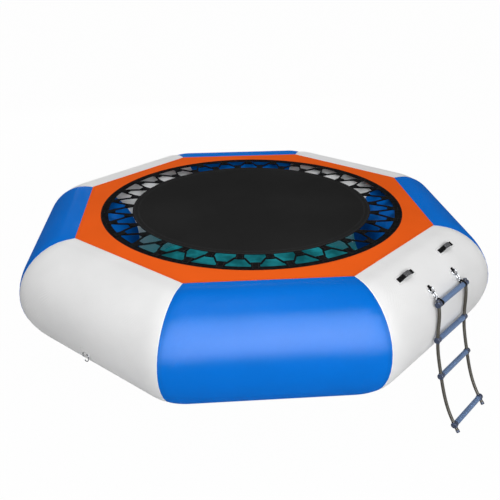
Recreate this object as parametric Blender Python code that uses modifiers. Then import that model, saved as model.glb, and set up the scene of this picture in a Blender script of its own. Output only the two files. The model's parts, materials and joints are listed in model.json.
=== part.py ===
"""Octagonal inflatable water trampoline with a boarding ladder.

Eight mitred PVC tube sections form the float. An orange apron carries a webbing ring, and a
bungee laced through loops on that ring and on the mat's hem holds up the round jump mat.
A curved four-rung ladder hangs from two D-rings on the front right section, into the water.

Metres, +Z up. The origin is the centre of the octagon on the plane of the tubes' undersides.
Section angles are measured from +X, and each section's own frame has X outwards, Y along
the section and Z up.
"""
import math

import bmesh
import bpy
import numpy as np
from mathutils import Matrix, Vector

# Float
OVERALL_WIDTH = 3.05
SECTION_COUNT = 8
TUBE_WIDTH = 0.708
TUBE_HEIGHT = 0.7294
TUBE_SIDES = 26
TUBE_WALL = 0.0009
SEAM_PINCH = 0.0125
SEAM_START_SHARE = 0.82
LAP_WIDTH = 0.035
LAP_CLEARANCE = 0.0006

# Seats and cuts
SEAT_GAP = 0.0003
CUT_OVERRUN = 0.004

# Apron and webbing ring
APRON_EDGE_INSET = 0.017
APRON_OPENING_DROP = 0.0134
APRON_THICKNESS = 0.0009
APRON_STATION_SHARES = (-1.0, -SEAM_START_SHARE, -0.4, 0.0, 0.4, SEAM_START_SHARE)
RING_REVEAL = 0.050
RING_OVERLAP = 0.012
BAND_THICKNESS = 0.003
BAND_SIDES = 60

# Mat and lacing
MAT_RADIUS = 0.825
LACING_GAP = 0.165
MAT_THICKNESS = 0.0012
HEM_WIDTH = 0.050
LOOP_COUNT = 30
LACING_PHASE = math.radians(-87.5)
CORD_RADIUS = 0.006
LOOP_PLY = 0.0022
LOOP_BITE = 0.003
LOOP_CROTCH = 0.006
LOOP_FLUSH = 0.0002
MAT_LOOP_REACH = 0.0526
MAT_LOOP_WIDTH = 0.050
RING_LOOP_REACH = 0.0386
RING_LOOP_WIDTH = 0.054
CORD_BEND_ROOM = 0.0045
LACING_ARC_STEP = math.radians(60)

# Hand loops
HANDLE_FACET = 2
HANDLE_SPACING = 0.502
HANDLE_OFFSET = 0.010
HANDLE_DOWNHILL = 0.010
HANDLE_LENGTH = 0.166
HANDLE_WIDTH = 0.030
HANDLE_FOOT = 0.034
HANDLE_RISE = 0.024
HANDLE_SPANS = 8
WEBBING_THICKNESS = 0.0024
PATCH_THICKNESS = 0.0010
HANDLE_PATCH_LENGTH = 0.192
HANDLE_PATCH_WIDTH = 0.056
PATCH_CORNER = 0.012
PATCH_CORNER_STEPS = 3

# D-rings
RING_WIRE_RADIUS = 0.003
RING_BAR_HALF = 0.022
RING_SHOULDER = 0.010
RING_DEPTH = 0.034
RING_ARC_STEPS = 8
KEEPER_WIDTH = 0.022
KEEPER_FOOT = 0.013
KEEPER_ARC_STEPS = 4
RING_PATCH_SIZE = 0.076
RING_PATCH_CORNER = 0.026
ANCHOR_FACET = 8
ANCHOR_ALONG = -0.006
ANCHOR_DOWNHILL = 0.012
ANCHOR_BAR_HALF = 0.026
ANCHOR_RING_DEPTH = 0.048

# Ladder
LADDER_ANGLE = 315.0
LADDER_FACET = 4
LADDER_CENTRE = 0.022
LADDER_RING_UPHILL = 0.025
HANGER_SPACING = 0.300
RAIL_SPACING = 0.355
RAIL_RADIUS = 0.010
RAIL_WALL = 0.0015
RAIL_HOLE_CLEARANCE = 0.0006
RAIL_HEAD = 0.005
RAIL_TAIL = 0.016
RAIL_SPAN_STEPS = 6
PLUG_RADIUS = 0.0115
PLUG_HEAD_LENGTH = 0.004
FOOT_LENGTH = 0.016
PLUG_SPIGOT_RADIUS = 0.0075
PLUG_SPIGOT_LENGTH = 0.009
RUNG_RADIUS = 0.0165
RUNG_WALL = 0.002
RUNG_TUBE_LENGTH = 0.326
RUNG_SIDES = 12
CAP_RADIUS = 0.0185
CAP_LENGTH = 0.0290
CAP_SPIGOT_LENGTH = 0.012
CAP_CHAMFER = 0.002
RUNG_REACHES = (0.0006, 0.0232, 0.0718, 0.1954)
RUNG_HEIGHT_SHARES = (0.720, 0.407, 0.092, -0.312)
RAIL_SLOPES = (math.radians(-76), math.radians(-84), math.radians(-75), math.radians(-55))

# Snap hooks and hanger straps
HOOK_WIRE_RADIUS = 0.003
HOOK_BOW_RADIUS = 0.0078
HOOK_SIDE_LENGTH = 0.016
HOOK_EYE_HALF = 0.0125
HOOK_EYE_DEPTH = 0.0110
HOOK_EYE_RADIUS = 0.0025
HOOK_EYE_BITE = 0.0015
HOOK_ARC_STEPS = 4
HOOK_END_LEAD = 0.002
GATE_RADIUS = 0.0022
GATE_HINGE_GAP = 0.0009
HANGER_WIDTH = 0.019
HANGER_PLY = 0.0022

# Inflation valve
VALVE_ANGLE = 90.0
VALVE_FACET = 6
VALVE_NECK_RADIUS = 0.0180
VALVE_NECK_HEIGHT = 0.0120
VALVE_BORE_RADIUS = 0.0135
VALVE_FLANGE_RADIUS = 0.0320
VALVE_FLANGE_THICKNESS = 0.0025
VALVE_BARREL_RADIUS = 0.0165
VALVE_BARREL_LENGTH = 0.0220
VALVE_SEAT_THICKNESS = 0.0025
VALVE_SEAT_RADIUS = 0.0042
VALVE_POPPET_RADIUS = 0.0090
VALVE_POPPET_THICKNESS = 0.0020
VALVE_STEM_RADIUS = 0.0025
VALVE_BUTTON_RADIUS = 0.0065
VALVE_BUTTON_THICKNESS = 0.0025
VALVE_BUTTON_LEVEL = 0.0040
VALVE_CAP_WALL = 0.0032
VALVE_CAP_TOP = 0.0030
VALVE_GRIP_LENGTH = 0.0320
VALVE_GRIP_WIDTH = 0.0050
VALVE_GRIP_HEIGHT = 0.0050
VALVE_SIDES = 16
SPRING_RADIUS = 0.0052
SPRING_WIRE_RADIUS = 0.0006
SPRING_TURNS = 4
SPRING_STEPS = 10

# Worked out from the sizes above
HALF_TURN = math.pi
SECTION_STEP = 2 * HALF_TURN / SECTION_COUNT
MITRE_SLOPE = math.tan(SECTION_STEP / 2)
TUBE_REACH = TUBE_WIDTH / 2
AXIS_RADIUS = OVERALL_WIDTH / 2 - TUBE_REACH
AXIS_HEIGHT = TUBE_HEIGHT / 2
FACET_STEP = 2 * HALF_TURN / TUBE_SIDES
TUBE_RISE = AXIS_HEIGHT / math.cos(FACET_STEP / 2)
APRON_OPENING_LEVEL = TUBE_HEIGHT - APRON_OPENING_DROP
RING_INNER_RADIUS = MAT_RADIUS + LACING_GAP
APRON_OPENING_RADIUS = RING_INNER_RADIUS + RING_REVEAL
RING_OUTER_RADIUS = APRON_OPENING_RADIUS + RING_OVERLAP
RING_TOP_LEVEL = APRON_OPENING_LEVEL - APRON_THICKNESS - SEAT_GAP
LACING_LEVEL = RING_TOP_LEVEL - BAND_THICKNESS / 2
MAT_LEVEL = RING_TOP_LEVEL + SEAT_GAP + MAT_THICKNESS / 2
LOOP_STEP = 2 * HALF_TURN / LOOP_COUNT
BAND_FLAT = math.cos(HALF_TURN / BAND_SIDES)
MAT_SEAT_RADIUS = MAT_RADIUS * BAND_FLAT + MAT_LOOP_REACH
RING_SEAT_RADIUS = RING_INNER_RADIUS * BAND_FLAT - RING_LOOP_REACH
LOOP_INSIDE = (CORD_RADIUS + SEAT_GAP) / math.cos(LACING_ARC_STEP / 2)
RING_BAR_HEIGHT = SEAT_GAP + PATCH_THICKNESS + SEAT_GAP + RING_WIRE_RADIUS
RAIL_HOLE_RADIUS = RAIL_RADIUS + RAIL_HOLE_CLEARANCE
SPIGOT_RADIUS = (RUNG_RADIUS - RUNG_WALL) * math.cos(HALF_TURN / RUNG_SIDES) - SEAT_GAP
HOOK_TOP_DEPTH = RING_DEPTH - RING_WIRE_RADIUS - HOOK_WIRE_RADIUS - SEAT_GAP
HOOK_BOW_DEPTH = HOOK_TOP_DEPTH + HOOK_BOW_RADIUS
HOOK_FOOT_DEPTH = HOOK_BOW_DEPTH + HOOK_SIDE_LENGTH
HOOK_EYE_TOP = HOOK_FOOT_DEPTH + HOOK_BOW_RADIUS + HOOK_WIRE_RADIUS + HOOK_EYE_RADIUS - HOOK_EYE_BITE
HOOK_EYE_FOOT = HOOK_EYE_TOP + HOOK_EYE_DEPTH

SECTIONS = (
    ("tube_right_blue", 0.0, "pvc_blue"),
    ("tube_back_right_white", 45.0, "pvc_white"),
    ("tube_back_blue", 90.0, "pvc_blue"),
    ("tube_back_left_white", 135.0, "pvc_white"),
    ("tube_left_blue", 180.0, "pvc_blue"),
    ("tube_front_left_white", 225.0, "pvc_white"),
    ("tube_front_blue", 270.0, "pvc_blue"),
    ("tube_front_right_white", 315.0, "pvc_white"),
)
ANCHORS = (
    ("front_left", 225.0),
    ("back_left", 135.0),
    ("back_right", 45.0),
)
SIDES = (("left", -1), ("right", 1))

# Colour (linear), roughness and metallic value of each finish
FINISHES = {
    "pvc_blue": ((0.0, 0.178, 0.737, 1.0), 0.28, 0.0),
    "pvc_white": ((0.86, 0.86, 0.86, 1.0), 0.30, 0.0),
    "pvc_orange": ((0.807, 0.103, 0.010, 1.0), 0.42, 0.0),
    "webbing_black": ((0.012, 0.012, 0.013, 1.0), 0.80, 0.0),
    "mat_black": ((0.015, 0.015, 0.016, 1.0), 0.85, 0.0),
    "bungee_black": ((0.008, 0.008, 0.009, 1.0), 0.70, 0.0),
    "rail_olive": ((0.052, 0.050, 0.038, 1.0), 0.35, 0.6),
    "rung_blue": ((0.190, 0.290, 0.480, 1.0), 0.35, 0.4),
    "cap_black": ((0.012, 0.013, 0.016, 1.0), 0.50, 0.0),
    "steel": ((0.56, 0.57, 0.58, 1.0), 0.22, 1.0),
    "valve_grey": ((0.30, 0.31, 0.32, 1.0), 0.45, 0.0),
}


def clear_scene():
    """Remove every object of the open scene."""
    for item in list(bpy.data.objects):
        bpy.data.objects.remove(item, do_unlink=True)


def new_collection(name):
    """Make a collection and link it to the scene."""
    collection = bpy.data.collections.new(name)
    bpy.context.scene.collection.children.link(collection)
    return collection


def finish(name):
    """Return the material of a finish, made on first use."""
    material = bpy.data.materials.get(name)
    if material:
        return material
    colour, roughness, metallic = FINISHES[name]
    material = bpy.data.materials.new(name)
    material.use_nodes = True
    shader = material.node_tree.nodes["Principled BSDF"]
    shader.inputs["Base Color"].default_value = colour
    shader.inputs["Roughness"].default_value = roughness
    shader.inputs["Metallic"].default_value = metallic
    material.diffuse_color = colour
    return material


def add_object(name, data, finish_name, collection, place=None):
    """Link an object for a mesh or a curve, at the given matrix."""
    item = bpy.data.objects.new(name, data)
    data.materials.clear()
    data.materials.append(finish(finish_name))
    item.matrix_world = place or Matrix.Identity(4)
    collection.objects.link(item)
    return item


def bmesh_to_mesh(name, shape):
    """Turn a bmesh into a mesh with its normals outwards, and free it."""
    bmesh.ops.recalc_face_normals(shape, faces=shape.faces)
    mesh = bpy.data.meshes.new(name)
    shape.to_mesh(mesh)
    shape.free()
    return mesh


def weld(mesh):
    """Join the loose caps of a mesh that was made from a curve."""
    shape = bmesh.new()
    shape.from_mesh(mesh)
    bmesh.ops.remove_doubles(shape, verts=shape.verts, dist=SEAT_GAP / 10)
    bmesh.ops.recalc_face_normals(shape, faces=shape.faces)
    shape.to_mesh(mesh)
    shape.free()


def curve_to_mesh(curve):
    """Evaluate a curve datablock as a welded mesh."""
    carrier = bpy.data.objects.new(curve.name, curve)
    bpy.context.scene.collection.objects.link(carrier)
    graph = bpy.context.evaluated_depsgraph_get()
    mesh = bpy.data.meshes.new_from_object(carrier.evaluated_get(graph))
    bpy.data.objects.remove(carrier, do_unlink=True)
    weld(mesh)
    return mesh


def outline_mesh(name, outlines, half_depth):
    """Extrude closed outlines in XY, the first with the others as its holes, both ways in Z."""
    curve = bpy.data.curves.new(name, "CURVE")
    curve.dimensions = "2D"
    curve.fill_mode = "BOTH"
    curve.extrude = half_depth
    for outline in outlines:
        spline = curve.splines.new("POLY")
        spline.points.add(len(outline) - 1)
        for point, (x, y) in zip(spline.points, outline):
            point.co = (x, y, 0.0, 1.0)
        spline.use_cyclic_u = True
    return curve_to_mesh(curve)


def wire_curve(name, points, radius, cyclic=False, resolution=1, swell=None):
    """Make a round wire or rope along a list of points, with its ends filled."""
    curve = bpy.data.curves.new(name, "CURVE")
    curve.dimensions = "3D"
    curve.bevel_depth = radius
    curve.bevel_resolution = resolution
    curve.use_fill_caps = not cyclic
    curve.twist_mode = "MINIMUM"
    spline = curve.splines.new("POLY")
    spline.points.add(len(points) - 1)
    for index, place in enumerate(points):
        spline.points[index].co = (*place, 1.0)
        if swell:
            spline.points[index].radius = swell[index]
    spline.use_cyclic_u = cyclic
    return curve


def turned_object(name, profile, sides, finish_name, collection, place, closed=False):
    """Spin a profile of (radius, height) points round Z, from the top of its outer side down."""
    mesh = bpy.data.meshes.new(name)
    edges = [(index, index + 1) for index in range(len(profile) - 1)]
    if closed:
        edges.append((len(profile) - 1, 0))
    mesh.from_pydata([(radius, 0.0, height) for radius, height in profile], edges, [])
    item = add_object(name, mesh, finish_name, collection, place)
    screw = item.modifiers.new("turn", "SCREW")
    screw.angle = 2 * HALF_TURN
    screw.steps = sides
    screw.render_steps = sides
    screw.use_merge_vertices = True
    screw.merge_threshold = SEAT_GAP / 10
    return item


def add_boolean(item, cutter, operation):
    """Cut a piece with a cutter, or join the cutter to it."""
    boolean = item.modifiers.new(operation.lower(), "BOOLEAN")
    boolean.operation = operation
    boolean.object = cutter
    cutter.hide_render = True
    cutter.display_type = "WIRE"


def smooth(item, angle=math.radians(35)):
    """Shade a mesh smooth, with its sharper edges kept."""
    item.data.shade_smooth()
    item.data.set_sharp_from_angle(angle=angle)


def section_frame(angle):
    """Frame of a section: X outwards, Y along it, Z up, at the octagon's centre."""
    return Matrix.Rotation(math.radians(angle), 4, "Z")


def facet_corner(index):
    """Offset (outwards, up) from the tube's axis of one corner of its faceted outline."""
    turn = (index - 0.5) * FACET_STEP
    return Vector((TUBE_REACH * math.sin(turn), TUBE_RISE * math.cos(turn)))


def facet_frame(angle, facet, along=0.0, uphill=0.0, height=0.0):
    """Frame on a facet: X along the section, Y up the slope, Z out of the facet."""
    upper = facet_corner(facet)
    lower = facet_corner(facet + 1)
    middle = (upper + lower) / 2
    slope = (upper - lower).normalized()
    run = Vector((0.0, 1.0, 0.0))
    rise = Vector((slope.x, 0.0, slope.y))
    normal = run.cross(rise)
    centre = Vector((AXIS_RADIUS + middle.x, 0.0, AXIS_HEIGHT + middle.y))
    centre += run * along + rise * uphill + normal * height
    frame = Matrix((run, rise, normal)).transposed().to_4x4()
    frame.translation = centre
    return section_frame(angle) @ frame


def pinch_at(share):
    """How far the tube draws in at a share of its half length."""
    run_in = (abs(share) - SEAM_START_SHARE) / (1 - SEAM_START_SHARE)
    return SEAM_PINCH * max(0.0, run_in)


def tube_ring(share, inset=0.0, turn=0.0):
    """Corners of the tube's outline at a share of its mitred half length, in a section's frame."""
    scale = 1 - (pinch_at(share) + inset) / TUBE_REACH
    frame = Matrix.Rotation(turn, 3, "Z")
    ring = []
    for index in range(TUBE_SIDES):
        corner = facet_corner(index) * scale
        outwards = AXIS_RADIUS + corner.x
        ring.append(frame @ Vector((outwards, share * MITRE_SLOPE * outwards, AXIS_HEIGHT + corner.y)))
    return ring


def bridge(shape, rings, closed=True):
    """Join rings of equal length with four-sided faces."""
    levels = [[shape.verts.new(point) for point in ring] for ring in rings]
    count = len(rings[0])
    last = count if closed else count - 1
    for near, far in zip(levels, levels[1:]):
        for index in range(last):
            after = (index + 1) % count
            shape.faces.new((near[index], near[after], far[after], far[index]))


def add_shell(item, thickness):
    """Give an open surface its wall, inwards from the modelled face."""
    solidify = item.modifiers.new("wall", "SOLIDIFY")
    solidify.thickness = thickness
    solidify.offset = -1
    solidify.use_even_offset = True


def build_tube_section(name, angle, finish_name, parts):
    """One mitred section. The white ones run on under their neighbours as the welded laps."""
    rings = [tube_ring(share) for share in (-SEAM_START_SHARE, SEAM_START_SHARE)]
    if finish_name == "pvc_white":
        inset = TUBE_WALL + LAP_CLEARANCE
        reach = 1 - LAP_WIDTH / (AXIS_RADIUS * MITRE_SLOPE)
        rings.insert(0, tube_ring(-1, inset))
        rings.insert(0, tube_ring(reach, inset, -SECTION_STEP))
        rings.append(tube_ring(1, inset))
        rings.append(tube_ring(-reach, inset, SECTION_STEP))
    else:
        rings.insert(0, tube_ring(-1))
        rings.append(tube_ring(1))
    shape = bmesh.new()
    bridge(shape, rings)
    mesh = bpy.data.meshes.new(name)
    shape.to_mesh(mesh)
    shape.free()
    item = add_object(name, mesh, finish_name, parts, section_frame(angle))
    smooth(item)
    add_shell(item, TUBE_WALL)
    return item


def build_apron(parts):
    """The orange skirt: an octagon on the tubes' top facets with a round opening."""
    edge, shoulder, opening = [], [], []
    edge_radius = AXIS_RADIUS - APRON_EDGE_INSET
    for section in range(SECTION_COUNT):
        frame = Matrix.Rotation(section * SECTION_STEP, 3, "Z")
        for share in APRON_STATION_SHARES:
            scale = 1 - pinch_at(share) / TUBE_REACH
            level = AXIS_HEIGHT * (1 + scale) + SEAT_GAP + APRON_THICKNESS
            shoulder_radius = AXIS_RADIUS + facet_corner(0).x * scale
            edge.append(frame @ Vector((edge_radius, share * MITRE_SLOPE * edge_radius, level)))
            shoulder.append(frame @ Vector((shoulder_radius, share * MITRE_SLOPE * shoulder_radius, level)))
            turn = math.atan(share * MITRE_SLOPE)
            rim = Vector((math.cos(turn), math.sin(turn), 0.0)) * APRON_OPENING_RADIUS
            rim.z = APRON_OPENING_LEVEL
            opening.append(frame @ rim)
    shape = bmesh.new()
    bridge(shape, (opening, shoulder, edge))
    mesh = bpy.data.meshes.new("apron_panel")
    shape.to_mesh(mesh)
    shape.free()
    mesh.flip_normals()
    item = add_object("apron_panel", mesh, "pvc_orange", parts)
    if mesh.polygons[0].normal.z < 0:
        mesh.flip_normals()
    add_shell(item, APRON_THICKNESS)


def circle_points(radius, count, phase):
    """Corners of a regular polygon in XY."""
    turns = phase + 2 * HALF_TURN * np.arange(count) / count
    return list(zip(radius * np.cos(turns), radius * np.sin(turns)))


def loop_mesh(name, reach, width):
    """A webbing loop: X away from the band's edge, Y up, Z across, with a hole for the cord."""
    arc = [index * LACING_ARC_STEP for index in (1.5, 0.5, -0.5, -1.5)]
    nose = LOOP_INSIDE + LOOP_PLY
    tail = BAND_THICKNESS / 2 - LOOP_FLUSH
    outside = [(-LOOP_BITE, tail)]
    outside += [(reach + nose * math.cos(turn), nose * math.sin(turn)) for turn in arc]
    outside.append((-LOOP_BITE, -tail))
    inside = [(LOOP_CROTCH, 0.0)]
    inside += [(reach + LOOP_INSIDE * math.cos(turn), LOOP_INSIDE * math.sin(turn)) for turn in arc]
    return outline_mesh(name, (outside, inside), width / 2)


def loop_frame(turn, radius, outwards):
    """Frame of a loop at the band's edge: X radial, Y up, Z across."""
    radial = Vector((math.cos(turn), math.sin(turn), 0.0))
    away = radial if outwards else -radial
    up = Vector((0.0, 0.0, 1.0))
    frame = Matrix((away, up, away.cross(up))).transposed().to_4x4()
    frame.translation = radial * radius + up * LACING_LEVEL
    return frame


def build_band(name, inner, outer, edge, reach, width, phase, outwards, parts, cutters):
    """A flat webbing ring with its loops, all sewn into one piece."""
    corner_phase = LACING_PHASE + HALF_TURN / BAND_SIDES
    rims = [circle_points(radius, BAND_SIDES, corner_phase) for radius in (outer, inner)]
    mesh = outline_mesh(name, rims, BAND_THICKNESS / 2)
    band = add_object(name, mesh, "webbing_black", parts, Matrix.Translation((0.0, 0.0, LACING_LEVEL)))
    single = loop_mesh(name + "_loop", reach, width)
    loops = bmesh.new()
    for index in range(LOOP_COUNT):
        copy = single.copy()
        copy.transform(loop_frame(phase + index * LOOP_STEP, edge, outwards))
        loops.from_mesh(copy)
        bpy.data.meshes.remove(copy)
    joiner = add_object(name + "_loops", bmesh_to_mesh(name + "_loops", loops), "webbing_black", cutters)
    add_boolean(band, joiner, "UNION")


def build_mat(parts, cutters):
    """The jump mat, its hem with the inner loops, and the ring with the outer loops."""
    shape = bmesh.new()
    bmesh.ops.create_cone(
        shape, cap_ends=True, segments=BAND_SIDES, radius1=MAT_RADIUS, radius2=MAT_RADIUS, depth=MAT_THICKNESS
    )
    turn = Matrix.Rotation(LACING_PHASE + HALF_TURN / BAND_SIDES, 4, "Z")
    place = Matrix.Translation((0.0, 0.0, MAT_LEVEL)) @ turn
    add_object("jump_mat", bmesh_to_mesh("jump_mat", shape), "mat_black", parts, place)
    build_band(
        "mat_hem", MAT_RADIUS - HEM_WIDTH, MAT_RADIUS, MAT_RADIUS * BAND_FLAT,
        MAT_LOOP_REACH, MAT_LOOP_WIDTH, LACING_PHASE, True, parts, cutters,
    )
    build_band(
        "webbing_ring", RING_INNER_RADIUS, RING_OUTER_RADIUS, RING_INNER_RADIUS * BAND_FLAT,
        RING_LOOP_REACH, RING_LOOP_WIDTH, LACING_PHASE + LOOP_STEP / 2, False, parts, cutters,
    )


def build_lacing(parts):
    """The bungee: straight through each loop, then across to the next loop of the other row."""
    rows = (
        (MAT_SEAT_RADIUS, MAT_LOOP_WIDTH / 2 + CORD_BEND_ROOM, 0.0),
        (RING_SEAT_RADIUS, RING_LOOP_WIDTH / 2 + CORD_BEND_ROOM, LOOP_STEP / 2),
    )
    points = []
    for index in range(LOOP_COUNT):
        for radius, half, offset in rows:
            turn = LACING_PHASE + index * LOOP_STEP + offset
            radial = Vector((math.cos(turn), math.sin(turn), 0.0))
            across = Vector((-radial.y, radial.x, 0.0))
            level = Vector((0.0, 0.0, LACING_LEVEL))
            points.append(radial * radius - across * half + level)
            points.append(radial * radius + across * half + level)
    curve = wire_curve("lacing_cord", points, CORD_RADIUS, cyclic=True)
    curve.twist_mode = "Z_UP"
    add_object("lacing_cord", curve, "bungee_black", parts)


def rounded_plate(length, width, corner):
    """Outline of a rectangle with rounded corners."""
    outline = []
    for x_side, y_side, start in ((1, 1, 0), (-1, 1, 1), (-1, -1, 2), (1, -1, 3)):
        centre_x = x_side * (length / 2 - corner)
        centre_y = y_side * (width / 2 - corner)
        for step in range(PATCH_CORNER_STEPS + 1):
            turn = (start + step / PATCH_CORNER_STEPS) * HALF_TURN / 2
            outline.append((centre_x + corner * math.cos(turn), centre_y + corner * math.sin(turn)))
    return outline


def band_outline(path, thickness):
    """Outline of a strip of even thickness whose lower face follows a path of (x, y) points."""
    lower = [Vector(point) for point in path]
    upper = []
    for index, point in enumerate(lower):
        before = lower[max(index - 1, 0)]
        after = lower[min(index + 1, len(lower) - 1)]
        ahead = (after - before).normalized()
        upper.append(point + Vector((-ahead.y, ahead.x)) * thickness)
    return [tuple(point) for point in lower] + [tuple(point) for point in reversed(upper)]


def stand_up():
    """Turn an outline's XY plane into XZ, so that its Y points out of a facet."""
    return Matrix.Rotation(HALF_TURN / 2, 4, "X")


def build_patch(name, length, width, corner, frame, parts):
    """A PVC patch glued on a facet."""
    lift = Matrix.Translation((0.0, 0.0, SEAT_GAP + PATCH_THICKNESS / 2))
    mesh = outline_mesh(name, (rounded_plate(length, width, corner),), PATCH_THICKNESS / 2)
    add_object(name, mesh, "pvc_white", parts, frame @ lift)


def build_handle(side, sign, parts):
    """A webbing hand loop, arched between its two sewn feet, on its patch."""
    along = HANDLE_OFFSET + sign * HANDLE_SPACING / 2
    frame = facet_frame(LADDER_ANGLE, HANDLE_FACET, along, -HANDLE_DOWNHILL)
    build_patch(
        f"handle_patch_{side}", HANDLE_PATCH_LENGTH, HANDLE_PATCH_WIDTH, PATCH_CORNER, frame, parts
    )
    half = HANDLE_LENGTH / 2 - HANDLE_FOOT
    path = [(-HANDLE_LENGTH / 2, 0.0)]
    for step in range(HANDLE_SPANS + 1):
        share = 2 * step / HANDLE_SPANS - 1
        path.append((half * share, HANDLE_RISE * math.sqrt(1 - abs(share) ** 3)))
    path.append((HANDLE_LENGTH / 2, 0.0))
    seat = SEAT_GAP + PATCH_THICKNESS + SEAT_GAP
    mesh = outline_mesh(f"handle_{side}", (band_outline(path, WEBBING_THICKNESS),), HANDLE_WIDTH / 2)
    lift = Matrix.Translation((0.0, 0.0, seat))
    add_object(f"handle_{side}", mesh, "webbing_black", parts, frame @ lift @ stand_up())


def keeper_outline():
    """Closed outline of the keeper strap round the bar."""
    inside = RING_WIRE_RADIUS + SEAT_GAP
    bow = inside / math.cos(HALF_TURN / KEEPER_ARC_STEPS / 2)
    top = bow + WEBBING_THICKNESS
    outer = [(-top - KEEPER_FOOT, 0.0), (-top - KEEPER_FOOT, WEBBING_THICKNESS), (-top, WEBBING_THICKNESS)]
    inner = []
    for step in range(KEEPER_ARC_STEPS + 1):
        turn = HALF_TURN * (1 - step / KEEPER_ARC_STEPS)
        outer.append((top * math.cos(turn), RING_WIRE_RADIUS + top * math.sin(turn)))
        inner.append((bow * math.cos(turn), RING_WIRE_RADIUS + bow * math.sin(turn)))
    outer += [(top, WEBBING_THICKNESS), (top + KEEPER_FOOT, WEBBING_THICKNESS), (top + KEEPER_FOOT, 0.0)]
    outer += [(bow, 0.0)] + inner[::-1] + [(-bow, 0.0)]
    return outer


def d_ring_points(half, depth):
    """Centre line of a D-ring: its bar along X, its bow towards -Y."""
    points = [(-half, 0.0, 0.0), (half, 0.0, 0.0)]
    for step in range(RING_ARC_STEPS + 1):
        turn = -HALF_TURN * step / RING_ARC_STEPS
        drop = (depth - RING_SHOULDER) * math.sin(turn) - RING_SHOULDER
        points.append((half * math.cos(turn), drop, 0.0))
    return points


def hanging_frame(angle, bar, direction):
    """Frame at a bar: X along the section, -Y down the hanging direction."""
    run = Vector((0.0, 1.0, 0.0))
    rise = -direction.normalized()
    frame = Matrix((run, rise, run.cross(rise))).transposed().to_4x4()
    frame.translation = bar
    return section_frame(angle) @ frame


def build_ring_station(label, angle, facet, along, uphill, keeper_finish, parts):
    """The patch and the keeper strap of one D-ring; returns the bar's place in the section."""
    patch_frame = facet_frame(angle, facet, along)
    build_patch(
        f"{label}_patch", RING_PATCH_SIZE, RING_PATCH_SIZE, RING_PATCH_CORNER, patch_frame, parts
    )
    seat = SEAT_GAP + PATCH_THICKNESS + SEAT_GAP
    frame = facet_frame(angle, facet, along, uphill, seat)
    across = Matrix.Rotation(HALF_TURN / 2, 4, "Z")
    mesh = outline_mesh(f"{label}_keeper", (keeper_outline(),), KEEPER_WIDTH / 2)
    add_object(f"{label}_keeper", mesh, keeper_finish, parts, frame @ across @ stand_up())
    bar = facet_frame(angle, facet, along, uphill, RING_BAR_HEIGHT)
    return section_frame(angle).inverted() @ bar.translation


def build_anchor(label, angle, parts):
    """A mooring D-ring that hangs straight down below the tube's widest line."""
    name = f"anchor_{label}"
    bar = build_ring_station(name, angle, ANCHOR_FACET, ANCHOR_ALONG, -ANCHOR_DOWNHILL, "pvc_white", parts)
    frame = hanging_frame(angle, bar, Vector((0.0, 0.0, -1.0)))
    points = d_ring_points(ANCHOR_BAR_HALF, ANCHOR_RING_DEPTH)
    curve = wire_curve(f"{name}_ring", points, RING_WIRE_RADIUS, cyclic=True)
    add_object(f"{name}_ring", curve, "steel", parts, frame)


def rung_places():
    """Centre of each rung in the section's frame."""
    places = []
    for reach, share in zip(RUNG_REACHES, RUNG_HEIGHT_SHARES):
        places.append(Vector((OVERALL_WIDTH / 2 + reach, LADDER_CENTRE, share * TUBE_HEIGHT)))
    return places


def rail_direction(index):
    """Direction of the rails where they pass through a rung."""
    slope = RAIL_SLOPES[index]
    return Vector((math.cos(slope), 0.0, math.sin(slope)))


def rail_span(start, start_way, end, end_way):
    """Smooth cubic between two points with given directions."""
    reach = (end - start).length
    points = []
    for step in range(RAIL_SPAN_STEPS + 1):
        share = step / RAIL_SPAN_STEPS
        square, cube = share ** 2, share ** 3
        point = start * (2 * cube - 3 * square + 1) + end * (3 * square - 2 * cube)
        point += start_way * reach * (cube - 2 * square + share) + end_way * reach * (cube - square)
        points.append(point)
    return points


def rail_path(places):
    """Centre line of a rail: straight through the caps, and curved from rung to rung."""
    clear = CAP_RADIUS + RAIL_HEAD
    points = [places[0] - rail_direction(0) * clear]
    for index in range(len(places) - 1):
        near_way, far_way = rail_direction(index), rail_direction(index + 1)
        start = places[index] + near_way * CAP_RADIUS
        end = places[index + 1] - far_way * CAP_RADIUS
        points += rail_span(start, near_way, end, far_way)
    points.append(places[-1] + rail_direction(-1) * (CAP_RADIUS + RAIL_TAIL))
    return points


def build_plug(name, end, way, head, parts):
    """The stopper in a rail's open end, with its head pointing along way."""
    profile = [
        (0.0, head), (PLUG_RADIUS - CAP_CHAMFER, head), (PLUG_RADIUS, head - CAP_CHAMFER),
        (PLUG_RADIUS, SEAT_GAP), (PLUG_SPIGOT_RADIUS, SEAT_GAP),
        (PLUG_SPIGOT_RADIUS, -PLUG_SPIGOT_LENGTH), (0.0, -PLUG_SPIGOT_LENGTH),
    ]
    aim = way.to_track_quat("Z", "Y").to_matrix().to_4x4()
    frame = section_frame(LADDER_ANGLE) @ Matrix.Translation(end) @ aim
    turned_object(name, profile, RUNG_SIDES, "cap_black", parts, frame)


def build_rail(side, sign, places, parts):
    """One bent tube of the ladder, with a plug at the top and a foot at the bottom."""
    shift = Vector((0.0, sign * RAIL_SPACING / 2, 0.0))
    points = [point + shift for point in rail_path(places)]
    curve = wire_curve(f"rail_{side}", points, RAIL_RADIUS, resolution=2)
    curve.use_fill_caps = False
    mesh = curve_to_mesh(curve)
    rail = add_object(f"rail_{side}", mesh, "rail_olive", parts, section_frame(LADDER_ANGLE))
    add_shell(rail, RAIL_WALL)
    build_plug(f"rail_plug_{side}", points[0], -rail_direction(0), PLUG_HEAD_LENGTH, parts)
    build_plug(f"rail_foot_{side}", points[-1], rail_direction(-1), FOOT_LENGTH, parts)


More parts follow.
